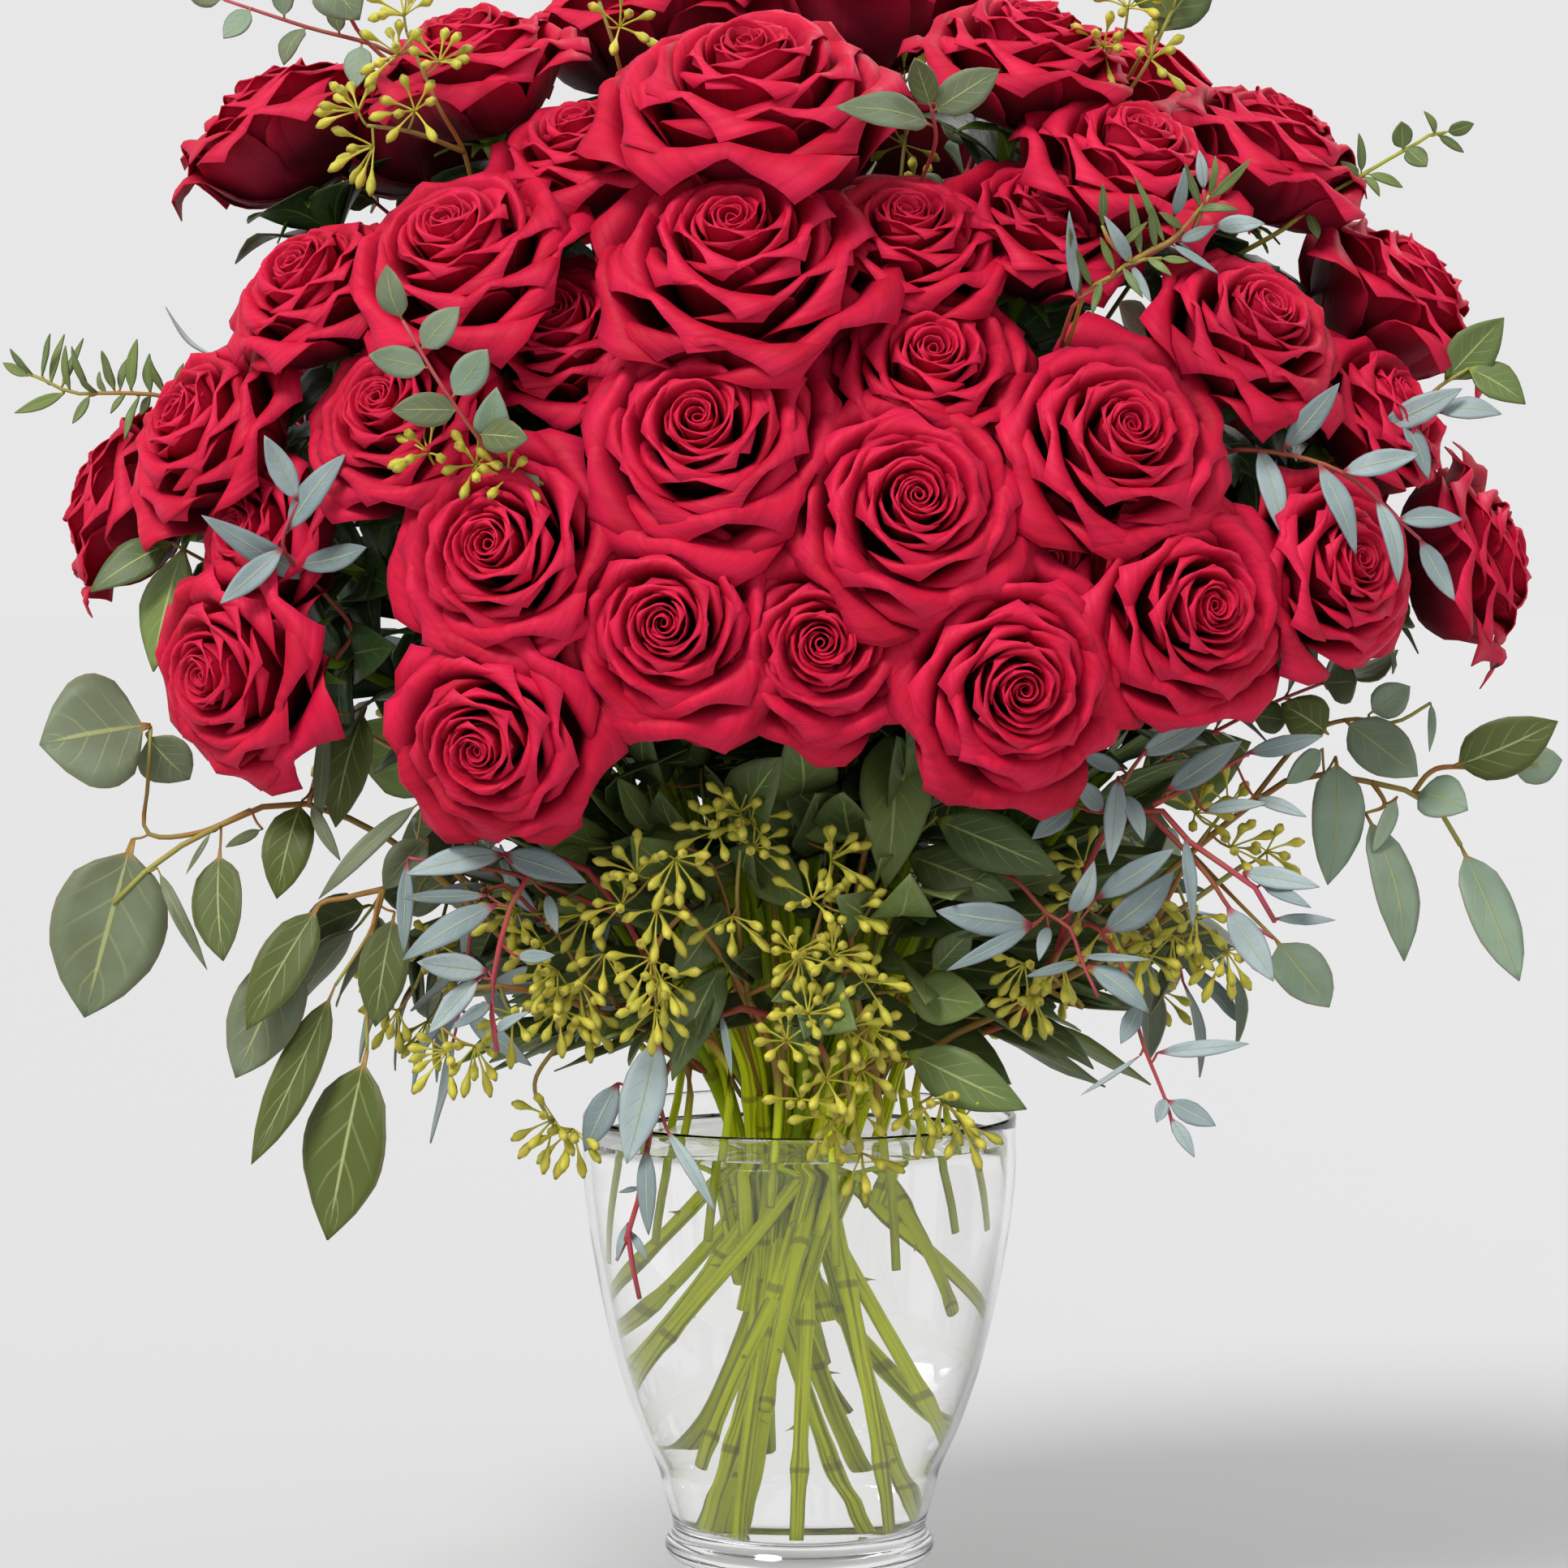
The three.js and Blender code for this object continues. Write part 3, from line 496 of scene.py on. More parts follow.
vase = {
    "steps": 112,
    "levels": 90,
    "underside": [(2, 1.8), (30, 1.6), (46, 1.2), (50, 0.2)],  # radius and height, as in the next three
    "outside": [(52.2, 0), (53, 1.2), (52.4, 3.4), (49, 8), (45, 12), (41, 17), (38.4, 22), (38.2, 26),
                (39.6, 31), (42.6, 36), (47, 39.6), (49.6, 42), (50.2, 44.6), (49.4, 47.2), (47.6, 49.4),
                (47.2, 52), (48.6, 58), (50.9, 66), (53, 74), (61, 92), (69, 117), (75.5, 147),
                (79.8, 177), (80.5, 203)],
    "lip": [(80.5, 204.2), (79.9, 205), (78.9, 205), (78.2, 204.2)],
    "dish": [(2, -0.6), (30, -0.3), (40, 0.4), (43.6, 2)],  # from the floor inside
    "wall": 2.8,
    "floor": 50,
    "waterTop": 195,
    "waterGap": 0.3,
}


def smoothProfile(points, steps):
    flat = smoothPath([(r, 0, h) for r, h in points], steps)
    return [(r, h) for r, _, h in flat]


outside = smoothProfile(vase["outside"], vase["levels"])
inside = [(r - vase["wall"], h) for r, h in outside if h > vase["floor"] + 4]
insideFoot = [(r, vase["floor"] + h) for r, h in vase["dish"]]
profile = [*vase["underside"], *outside, *vase["lip"], *reversed(inside), *reversed(insideFoot)]
glass = turned("vase_glass", profile, vase["steps"])
finishPiece(glass, "glass", finishes["glass"], "vase")

gap, top = vase["waterGap"], vase["waterTop"]
lowWater = [(r, h + gap) for r, h in insideFoot]
wet = [(r - gap, h) for r, h in inside if h < top - 2]
edge = np.interp(top, [h for _, h in inside], [r for r, _ in inside]) - gap
meniscus = [(edge, top + 1.2), (edge - 0.8, top + 0.4), (edge - 3, top), (2, top)]
water = turned("water_body", [*lowWater, *wet, *meniscus], vase["steps"])
finishPiece(water, "water", finishes["water"], "water")
print("vase and water are turned")


# blooms: where each one sits, read from its solid

bouquet = {
    "heart": 385,  # height that the blooms look away from
    "ridge": 0.55,  # share of the width that they look away from
    "crown": 1.26,  # height of a bloom's solid in half widths
    "foot": 51.4,  # the feet that stand on the floor
    "mouth": 225,
    "mouthRadius": 45,
    "twist": 140,  # from a stem's place in the mouth to its foot, in degrees
    "stray": 30,  # the most that chance adds to the twist or takes away
    "floorFeet": (20, 38),  # distances of the feet on the floor from the axis
    "wallLane": 0.35,  # stems of the lanes outside this one may lean on the glass
    "wallChance": 0.38,
    "wallFeet": (70, 138),  # the heights of their feet
    "wallStand": 4,
    "shortChance": 0.5,  # for a stem that is cut shorter, as a florist leaves some
    "shortFeet": (132, 184),
    "edgeLane": 0.9,  # the outermost lane of a stem in the mouth, as a share of mouthRadius
    "edgeLean": 60,  # a stem's lane is its bloom's lean over so many degrees, up to the outermost one
    "laneSpread": 1.3,
    "straight": 0.6,  # a joint on the straight way from foot to mouth
    "bow": 0.35,
    "bowSteps": 14,
}


def readBloom(index):
    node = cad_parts[f"rose_{index + 1:02d}"]
    points = pointsOf(node) / mm
    middle = (points.min(0) + points.max(0)) / 2
    facing = unit(middle - (bouquet["ridge"] * middle[0], 0, bouquet["heart"]))
    base = points[np.argmin(points @ facing)]
    facing = unit(base - (bouquet["ridge"] * base[0], 0, bouquet["heart"]))
    half = ((points - base) @ facing).max() / bouquet["crown"]
    lean = math.atan2(math.hypot(base[0], base[1]), base[2] - bouquet["mouth"])
    lane = min(bouquet["edgeLane"], lean / math.radians(bouquet["edgeLean"]))
    return {"index": index, "base": base, "facing": facing, "half": half, "lane": lane}


roseNodes = [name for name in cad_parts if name.startswith("rose_") and name[5:].isdigit()]
blooms = [readBloom(index) for index in range(len(roseNodes))]


def wallRadius(height):
    return float(np.interp(height, [h for _, h in inside], [r for r, _ in inside]))


def ringPoint(radius, bearing, height):
    return np.array([radius * math.cos(bearing), radius * math.sin(bearing), height])


def stemFeet(bloom):
    # a stem crosses the bundle from its place in the mouth to a foot on the floor or against the
    # glass, and some are cut shorter, as a florist leaves them
    seed = bloom["index"] + 1
    bearing = math.atan2(bouquet["laneSpread"] * bloom["base"][1], bloom["base"][0])
    mouth = ringPoint(bouquet["mouthRadius"] * bloom["lane"], bearing, bouquet["mouth"])
    over = bearing - math.radians(bouquet["twist"] + 2 * bouquet["stray"] * (float(chance(seed)) - 0.5))
    draw, reach = float(chance(seed + 0.37)), float(chance(seed + 0.11))
    if bloom["lane"] > bouquet["wallLane"] and draw > 1 - bouquet["wallChance"]:
        height = within(bouquet["wallFeet"], reach)
        return ringPoint(wallRadius(height) - bouquet["wallStand"], over, height), mouth
    foot = ringPoint(within(bouquet["floorFeet"], reach), over, bouquet["foot"])
    if draw < bouquet["shortChance"]:
        end = within(bouquet["shortFeet"], chance(seed + 0.61))
        foot = foot + (mouth - foot) * (end - foot[2]) / (mouth[2] - foot[2])
    return foot, mouth


def stemPath(bloom, steps):
    # straight through the bundle to the mouth, then in a bow to the bloom
    foot, mouth = stemFeet(bloom)
    bow = bloom["base"] - bloom["facing"] * bouquet["bow"] * np.linalg.norm(mouth - bloom["base"])
    t = np.linspace(0, 1, bouquet["bowSteps"])[1:, None]
    rise = (1 - t)**2 * mouth + 2 * t * (1 - t) * bow + t**2 * bloom["base"]
    return smoothPath([foot, foot + bouquet["straight"] * (mouth - foot), mouth, *rise], steps)


# rose heads: spiral petals, each a sheet that is cupped, spread and rolled back at its rim

rose = {
    "petals": 34,
    "across": 12,
    "along": 11,
    "thickness": 0.5,
    "turn": 137.5,  # degrees from one petal to the next
    # by a petal's share of the way out from the heart, in half widths and degrees
    "share": [0, 0.1, 0.25, 0.45, 0.65, 0.83, 1],
    "rim": [0.035, 0.10, 0.21, 0.38, 0.58, 0.79, 0.97],
    "height": [1.12, 1.18, 1.19, 1.12, 1.0, 0.86, 0.68],
    "lean": [97, 94, 86, 76, 64, 50, 32],
    "foot": [80, 66, 48, 30, 18, 10, 4],
    "reach": [0.20, 0.28, 0.40, 0.57, 0.74, 0.86, 0.94],
    "roll": [25, 38, 58, 76, 90, 104, 118],
    "rollRadius": [0.015, 0.022, 0.034, 0.05, 0.068, 0.085, 0.10],
    "round": [1, 1, 0.98, 0.95, 0.91, 0.86, 0.80],
    "spiral": [0.03, 0.035, 0.045, 0.05, 0.05, 0.045, 0.04],
    "drop": [0.04, 0.05, 0.07, 0.10, 0.12, 0.14, 0.16],
    "peak": [0, 0, 0.01, 0.03, 0.05, 0.07, 0.08],
    "rollFrom": 0.78,
    "widthAlong": ([0, 0.2, 0.45, 0.7, 0.88, 1], [0.3, 0.68, 0.94, 1, 0.9, 0.5]),
}


byShare = ["rim", "height", "lean", "foot", "reach", "roll", "rollRadius", "round", "spiral", "drop", "peak"]


def petalPlaces(number, u, v, seed):
    # places of a head's petals in half widths, about an axis up Z
    share = number / (rose["petals"] - 1)

    def draw(salt, spread):
        return 1 + spread * 2 * (chance(number + 31 * seed + salt) - 0.5)

    value = {key: np.interp(share, rose["share"], rose[key]) for key in byShare}
    edge = np.abs(u)
    rim = value["rim"] * draw(0.1, 0.07)
    height = value["height"] * draw(0.2, 0.035)
    lean = np.radians(value["lean"] * draw(0.3, 0.05))
    foot = np.radians(value["foot"])
    # the rim is lower and further out towards the petal's sides, with a small peak in its middle
    top = height * (1 - value["drop"] * edge**2.4) + value["peak"] * np.exp(-(edge / 0.22)**2)
    out = rim * (1 + 0.06 * edge**2)
    grow = np.minimum(v / rose["rollFrom"], 1)
    reach = 0.42 * top
    x0, z0 = 0.05, 0.03
    x1, z1 = x0 + 0.8 * out * np.cos(foot) + 0.02, z0 + 0.35 * top * np.sin(foot)
    x2, z2 = out - reach * np.cos(lean), top - reach * np.sin(lean)
    b0, b1, b2, b3 = (1 - grow)**3, 3 * grow * (1 - grow)**2, 3 * grow**2 * (1 - grow), grow**3
    radius = b0 * x0 + b1 * x1 + b2 * x2 + b3 * out
    level = b0 * z0 + b1 * z1 + b2 * z2 + b3 * top
    # the rim rolls back, more at the sides, which draws a point in its middle
    rolled = np.clip((v - rose["rollFrom"]) / (1 - rose["rollFrom"]), 0, 1)
    turn = rolled * np.radians(value["roll"] * draw(0.4, 0.25)) * (0.85 + 0.2 * edge**1.5)
    curl = value["rollRadius"] * draw(0.5, 0.3) * (0.85 + 0.5 * edge**2)
    radius = radius + curl * (np.sin(lean) - np.sin(lean - turn))
    level = level + curl * (np.cos(lean - turn) - np.cos(lean))
    ripple = 0.012 * v**3 * (0.3 + share) * np.sin(5.5 * u + 40 * chance(number + seed + 0.7))
    radius, level = radius + ripple + value["spiral"] * u * np.minimum(1.6 * v, 1), level + 1.2 * ripple
    # round the axis: a little flatter than a ring, so that the sides stand off the next petal
    bend = np.maximum(radius, 0.03) / value["round"]
    half = value["reach"] * draw(0.6, 0.08) * np.interp(v, *rose["widthAlong"])
    angle = u * np.minimum(half / bend, 2.7)
    x = radius - bend + bend * np.cos(angle)
    y = bend * np.sin(angle)
    facing = np.radians(number * rose["turn"]) + 0.22 * (draw(0.8, 1) - 1) + 9 * seed
    cosine, sine = np.cos(facing), np.sin(facing)
    return np.stack([x * cosine - y * sine, x * sine + y * cosine, level], axis=1)


petalStock = sheetStock(rose["across"], rose["along"])


def roseHead(bloom):
    name = f"rose_{bloom['index'] + 1:02d}"
    piece, number, points = copiesOf(petalStock, "head_" + name[5:], rose["petals"])
    places = petalPlaces(number, points[:, 0], (points[:, 1] + 1) / 2, bloom["index"] + 1)
    sideways = unit(np.cross(bloom["facing"], (0.3, 0.1, 1.0)))
    upright = np.cross(bloom["facing"], sideways)
    axes = np.array([sideways, upright, bloom["facing"]])
    movePoints(piece, mm * (bloom["base"] + bloom["half"] * places @ axes))
    addValue(piece, "tone", chance(number + 17 * bloom["index"] + 0.9))
    applyModifier(piece, "SOLIDIFY", thickness=mm * rose["thickness"], offset=0)
    finishPiece(piece, "petal", finishes["petal"], name)


for bloom in blooms:
    roseHead(bloom)
print("rose heads are open")


# rose stems with their knuckles and hips

stems = {
    "sides": 8,
    "rings": 64,
    "radius": 2.3,
    "hip": 5.6,  # swelling under a bloom
    "hipLength": 8,
    "knuckle": 0.75,
    "knuckleLength": 4.5,
    "knuckleEvery": (50, 92),
}
stemStock = barStock(stems["sides"], stems["rings"])
stemPaths = [stemPath(bloom, stems["rings"]) for bloom in blooms]


def stemRadii(path, number):
    # a stem thins towards its bloom, and swells at its knuckles and at the hip
    far = walked(path)
    radii = stems["radius"] * (1.02 - 0.12 * far / far[-1]) * (0.94 + 0.14 * chance(number + 0.2))
    every = within(stems["knuckleEvery"], chance(number + 0.4))
    knuckle = far / every + chance(number + 0.6)
    radii += stems["knuckle"] * np.exp(-((knuckle % 1 - 0.5) * every / stems["knuckleLength"])**2)
    radii += (stems["hip"] - stems["radius"]) * np.exp(-((far[-1] - far) / stems["hipLength"])**2)
    return radii, knuckle


stemRows = [stemRadii(path, i) for i, path in enumerate(stemPaths)]
stemBars = alongBars(stemStock, "rose_stem_bundle", stems["rings"], stemPaths,
                     [radii for radii, _ in stemRows], {"knuckle": [knuckle for _, knuckle in stemRows]})
finishPiece(stemBars, "stem", finishes["stem"], "rose_stems")
print("stems are in the water")


# sepals under the blooms, and the roses' own leaves below them

outlines = {  # a blade's width along it, as shares of its length and of its full width
    "sepal": ([0, 0.12, 0.35, 0.7, 1], [0.7, 1, 0.85, 0.4, 0.03]),
    "rose": ([0, 0.06, 0.12, 0.3, 0.5, 0.72, 0.9, 1], [0.05, 0.06, 0.42, 0.9, 1, 0.78, 0.36, 0.02]),
    "round": ([0, 0.08, 0.13, 0.26, 0.45, 0.64, 0.82, 0.93, 1],
              [0.04, 0.05, 0.4, 0.84, 1, 0.93, 0.6, 0.26, 0.01]),
    "pointed": ([0, 0.05, 0.1, 0.28, 0.48, 0.7, 0.88, 1], [0.05, 0.07, 0.42, 0.9, 1, 0.74, 0.34, 0.01]),
    "narrow": ([0, 0.05, 0.12, 0.3, 0.5, 0.7, 0.88, 1], [0.1, 0.14, 0.5, 0.92, 1, 0.8, 0.4, 0.02]),
}
bladeStock = sheetStock(6, 12)
smallStock = sheetStock(4, 8)
goldenTurn = 2.4  # radians from one leaf, seed or thorn to the next along a stem
fifthTurn = 1.257


def around(axis, angle):
    # a direction at right angles to an axis
    first = unit(np.cross(axis, (0.2, 0.35, 1.0)))
    return math.cos(angle) * first + math.sin(angle) * np.cross(axis, first)


sepals = {"count": 5, "length": 22, "width": 8, "below": 2.5, "thickness": 0.7}
sepalPlans = []
for bloom in blooms:
    base = bloom["base"] - sepals["below"] * bloom["facing"]
    for i in range(sepals["count"]):
        out = around(bloom["facing"], fifthTurn * i + bloom["index"])
        down = 0.1 - 0.5 * float(chance(7 * bloom["index"] + i))
        tip = base + sepals["length"] * unit(out + down * bloom["facing"])
        sepalPlans.append({"base": base + 3 * out, "tip": tip, "width": sepals["width"],
                           "face": -bloom["facing"], "arch": -0.1, "fold": -0.15})
sepalPiece = blades(smallStock, "rose_sepals", sepalPlans, outlines["sepal"], sepals["thickness"])
for name in ("along", "turn"):
    addValue(sepalPiece, name, np.zeros(len(sepalPiece.data.vertices)))
finishPiece(sepalPiece, "stem", finishes["sepal"])

leaflets = {
    "count": 5,
    "length": (30, 46),
    "width": 0.62,
    "thickness": 0.6,
    "below": (16, 34),  # how far down the stem, under a bloom of the half width that follows
    "bloomHalf": 36,
}
leafPlans = []
for bloom in blooms:
    for i in range(leaflets["count"]):
        seed = 13 * bloom["index"] + i
        back = within(leaflets["below"], chance(seed + 0.1)) / bloom["half"] * leaflets["bloomHalf"]
        out = around(bloom["facing"], fifthTurn * i + 2.1 * bloom["index"] + 0.8 * float(chance(seed)))
        base = bloom["base"] - back * bloom["facing"]
        far = within(leaflets["length"], chance(seed + 0.5))
        leafPlans.append({"base": base, "tip": base + far * unit(out + 0.45 * bloom["facing"]),
                          "width": leaflets["width"] * far, "face": bloom["facing"] + 0.3 * out,
                          "arch": 0.12, "wave": 0.04, "curl": 0.12})
stemLeaves = {"from": 0.58, "to": 0.92, "count": 8, "length": (36, 54)}
for bloom, path in zip(blooms, stemPaths):
    for i in range(stemLeaves["count"]):
        seed = 29 * bloom["index"] + 1.3 * i
        share = (i + float(chance(seed))) / stemLeaves["count"]
        at = int(within((stemLeaves["from"], stemLeaves["to"]), share) * stems["rings"])
        ahead = unit(path[at + 1] - path[at])
        out = around(ahead, goldenTurn * i + seed)
        out = unit(out + 0.5 * unit((0.5 * path[at][0], path[at][1], 0.1)))
        far = within(stemLeaves["length"], chance(seed + 0.4))
        leafPlans.append({"base": path[at], "tip": path[at] + far * unit(out + 0.55 * ahead),
                          "width": leaflets["width"] * far, "face": ahead + 0.6 * out,
                          "arch": 0.12, "wave": 0.04, "curl": 0.15})
roseLeaves = blades(smallStock, "rose_leaves", leafPlans, outlines["rose"], leaflets["thickness"])
finishPiece(roseLeaves, "olive_leaf", finishes["roseLeaf"])
print("sepals and rose leaves are on")


# foliage. A spray has twigs by their joints, leaves by base, tip and width, and fans of seeds by their
# middle, root and count. Leaves and fans get a thin stalk from the nearest twig. A spray may give its
# own tones and turn, and say which of its leaves are green

twigSizes = {"sides": 6, "rings": 20, "main": 1.7, "side": 1.1, "taper": 0.55, "sideFrom": 0.4}
stalkSizes = {"sides": 5, "rings": 5, "radius": 0.5, "sag": 0.08, "shortest": 0.8, "along": 0.7}
leafSizes = {
    "thickness": 0.6,
    "many": 100,  # a piece of so many leaves is made of the plainer sheet
    "fold": (0.02, 0.2),  # limits between which each leaf has its own, as in the next three
    "arch": (-0.06, 0.14),
    "wave": (0.005, 0.03),
    "curl": (-0.04, 0.1),
    "tones": (0.2, 1),  # from dark to light
    "green": (0, 0.15),
    "turn": 0.12,  # how far the leaves look round to the sides
}
leafSlots = {"silverLeaf": "silver_leaf", "oliveLeaf": "olive_leaf", "willowLeaf": "willow_leaf"}
seedSizes = {
    "sides": 6,
    "rings": 8,
    "radii": [0.45, 0.36, 0.34, 0.36, 0.46, 0.95, 1.7, 1.75, 0.5],
    "length": (13, 18),
    "first": 0.15,  # how far a fan's first seed turns from its middle, in radians
    "open": 1.35,  # and its outer ones
    "droop": 1.6,
}
mouthStalk = {"radius": 58, "feet": (150, 182), "stand": 2.2}  # a spray's stalk leans on the glass

twigStock = barStock(twigSizes["sides"], twigSizes["rings"])
stalkStock = barStock(stalkSizes["sides"], stalkSizes["rings"])
seedStock = barStock(seedSizes["sides"], seedSizes["rings"])

# small hooked thorns on the lower part of the rose stems
thorns = {
    "each": 3,
    "from": 0.04,  # the share of a stem below the first one
    "every": 0.12,  # and the share that each has to itself
    "length": 3.6,
    "hook": 0.8,
    "radii": [1.3, 1.0, 0.75, 0.55, 0.38, 0.26, 0.17, 0.1, 0.05],
}
seedWalk = np.linspace(0, 1, seedSizes["rings"] + 1)[:, None]
spikes = []
for bloom, path in zip(blooms, stemPaths):
    for i in range(thorns["each"]):
        own = i + float(chance(bloom["index"] + 0.3 * i))
        at = int(stems["rings"] * (thorns["from"] + thorns["every"] * own))
        ahead = unit(path[at + 1] - path[at])
        out = unit(around(ahead, goldenTurn * i + bloom["index"]) - 0.25 * ahead)
        away = 0.7 * stems["radius"] + thorns["length"] * seedWalk
        spikes.append(path[at] + away * out - thorns["hook"] * seedWalk**2 * ahead)
thornPiece = alongBars(seedStock, "stem_thorns", seedSizes["rings"], spikes, [thorns["radii"]] * len(spikes))
finishPiece(thornPiece, "stem", finishes["thorn"])


def stalkJoints(degrees):
    bearing = math.radians(degrees)
    height = within(mouthStalk["feet"], chance(degrees))
    return [ringPoint(wallRadius(height) - mouthStalk["stand"], bearing, height),
            ringPoint(mouthStalk["radius"], bearing, bouquet["mouth"])]


def leafFace(base, tip, seed, turn):
    # leaves look outwards and a little up, each in its own way
    middle = (np.asarray(base, float) + tip) / 2
    away = unit((turn * middle[0], middle[1], 0))
    swing = 2 * chance(np.array([seed, seed + 0.4, seed + 0.8])) - 1
    return away + (0.35 * swing[0], 0.15 * swing[1], 0.15 + 0.25 * swing[2])


def fanSeeds(middle, root, count, seed):
    # paths of club-shaped seeds that fan out from one point
    middle, root = np.asarray(middle, float), np.asarray(root, float)
    ahead = unit(middle - root)
    point = root + 0.4 * (middle - root)
    paths = []
    for i in range(count):
        own = float(chance(seed + 0.37 * i))
        lean = seedSizes["first"] if i == 0 else seedSizes["open"] * (0.45 + 0.55 * own)
        sideways = around(ahead, goldenTurn * i + 6 * float(chance(seed)))
        ray = math.cos(lean) * ahead + math.sin(lean) * sideways
        far = within(seedSizes["length"], chance(seed + 1.7 * i))
        droop = np.array([0, 0, -seedSizes["droop"]]) * seedWalk**2 * (1 + own)
        paths.append(point + far * seedWalk * ray + droop)
    return point, paths


def nearestOn(paths, point):
    every = np.vstack(paths)
    return every[np.argmin(np.linalg.norm(every - point, axis=1))]


def rootedTwigs(plan):
    # a spray's first twig comes from the water, where its bearing is given. Otherwise a twig that isn't
    # a side shoot of another one starts on the nearest rose stem
    twigs = [list(joints) for joints in plan["twigs"]]
    if "bearing" in plan:
        twigs[0] = [*stalkJoints(plan["bearing"]), *twigs[0]]
        return twigs
    for i, joints in enumerate(twigs):
        others = [joint for k, other in enumerate(twigs) if k != i for joint in other]
        if not any(np.allclose(joint, joints[0]) for joint in others):
            twigs[i] = [nearestOn(stemPaths, np.asarray(joints[0], float)), *joints]
    return twigs


def leafPlan(i, base, tip, width, plan):
    # a leaf of a spray, folded, arched, waved and curled in its own way
    tones = leafSizes["green"] if i in plan.get("green", ()) else plan.get("tones", leafSizes["tones"])
    return {"base": base, "tip": tip, "width": width,
            "face": leafFace(base, tip, i + base[0] + tip[2], plan.get("turn", leafSizes["turn"])),
            "fold": within(leafSizes["fold"], chance(i + tip[0])),
            "arch": within(leafSizes["arch"], chance(i + base[2])),
            "wave": within(leafSizes["wave"], chance(i + 0.5)),
            "curl": within(leafSizes["curl"], chance(i + 0.9)),
            "tone": within(tones, chance(i + 11.5))}


def thinStalks(ends):
    # a sagging stalk between each two ends that aren't all but together
    thin = []
    for start, end in ends:
        start, end = np.asarray(start, float), np.asarray(end, float)
        far = np.linalg.norm(end - start)
        if far > stalkSizes["shortest"]:
            bow = (start + end) / 2 - (0, 0, stalkSizes["sag"] * far)
            thin.append(smoothPath([start, bow, end], stalkSizes["rings"]))
    return thin


def makeSpray(name, plan, *replaced):
    paths = [smoothPath(joints, twigSizes["rings"]) for joints in rootedTwigs(plan)]
    fall = np.linspace(1, twigSizes["taper"], twigSizes["rings"] + 1)
    # only the stalk from the water is thick, and its foot in the water is painted a pale bright green:
    # painted light for the light that the glass keeps out
    stalk = [i == 0 and "bearing" in plan for i in range(len(paths))]
    sizes = [twigSizes["main" if first else "side"] * fall for first in stalk]
    starts = [0 if first else twigSizes["sideFrom"] for first in stalk]
    along = [np.linspace(start, 1, twigSizes["rings"] + 1) for start in starts]
    twigPiece = alongBars(twigStock, name + "_twigs", twigSizes["rings"], paths, sizes, {"along": along})
    finishPiece(twigPiece, "twig", finishes[plan["twig"]], *replaced)
    ends = []
    if "leaves" in plan:
        rows = [leafPlan(i, *leaf, plan) for i, leaf in enumerate(plan["leaves"])]
        stock = bladeStock if len(rows) < leafSizes["many"] else smallStock
        leaves = blades(stock, name + "_leaves", rows, outlines[plan["outline"]], leafSizes["thickness"])
        finishPiece(leaves, leafSlots[plan["leaf"]], finishes[plan["leaf"]])
        ends += [(nearestOn(paths, row["base"]), row["base"]) for row in rows]
    if "fans" in plan:
        seeds = []
        for i, (middle, root, count) in enumerate(plan["fans"]):
            point, fan = fanSeeds(middle, root, count, i + middle[0] + 0.01 * middle[2])
            seeds += fan
            ends.append((nearestOn(paths, point), point))
        radii = [seedSizes["radii"]] * len(seeds)
        seedPiece = alongBars(seedStock, name + "_seeds", seedSizes["rings"], seeds, radii)
        finishPiece(seedPiece, "seed", finishes["seed"])
    thin = thinStalks(ends)
    every = np.ones((len(thin), stalkSizes["rings"] + 1))
    stalkPiece = alongBars(stalkStock, name + "_stalks", stalkSizes["rings"], thin,
                           stalkSizes["radius"] * every, {"along": stalkSizes["along"] * every})
    finishPiece(stalkPiece, "twig", finishes[plan.get("stalk", plan["twig"])])


walkSteps = 40


def leavesAlong(joints, seed, pairs, length, width, start=0.25):
    # pairs of opposite leaves along a twig, each a quarter turn on from the last, and one at its tip
    path = smoothPath(joints, walkSteps)
    rows = []
    for i in range(pairs):
        at = int(walkSteps * (start + (0.97 - start) * i / max(1, pairs - 1)))
        ahead = unit(path[min(walkSteps, at + 1)] - path[at - 1])
        for side in (0, 1):
            own = float(chance(seed + 3.1 * i + 0.5 * side))
            out = around(ahead, 1.57 * i + 3.14 * side + 0.8 * own + seed)
            far = within(length, chance(seed + i + 0.7 * side))
            ray = unit(out + (0.35 + 0.7 * own) * ahead - (0, 0, 0.35 * own))
            rows.append((tuple(path[at] + 1.5 * out), tuple(path[at] + far * ray), width * far))
    ahead = unit(path[walkSteps] - path[walkSteps - 2])
    rows.append((tuple(path[walkSteps]), tuple(path[walkSteps] + length[1] * ahead), width * length[1]))
    return rows


def fansAlong(joints, seed, count, start=0.4):
    # fans of seeds along a twig, the last one ahead of its tip
    path = smoothPath(joints, walkSteps)
    rows = []
    for i in range(count):
        at = int(walkSteps * (start + (1 - start) * i / max(1, count - 1)))
        ahead = unit(path[min(walkSteps, at + 1)] - path[at - 1])
        out = unit(0.7 * around(ahead, goldenTurn * i + seed) + (0.35 if i < count - 1 else 2) * ahead)
        root = path[at] + 3 * out
        rows.append((tuple(root + 17 * out), tuple(root), 6 + int(3 * float(chance(seed + i)))))
    return rows


def growAlong(plan, seed):
    # leaves or fans along each twig of a plan, which says how many and how large they are
    rows, grow = ("leaves", leavesAlong) if "leaf" in plan else ("fans", fansAlong)
    plan[rows] = [row for i, joints in enumerate(plan["twigs"])
                  for row in grow(joints, seed + i, **plan["each"])]


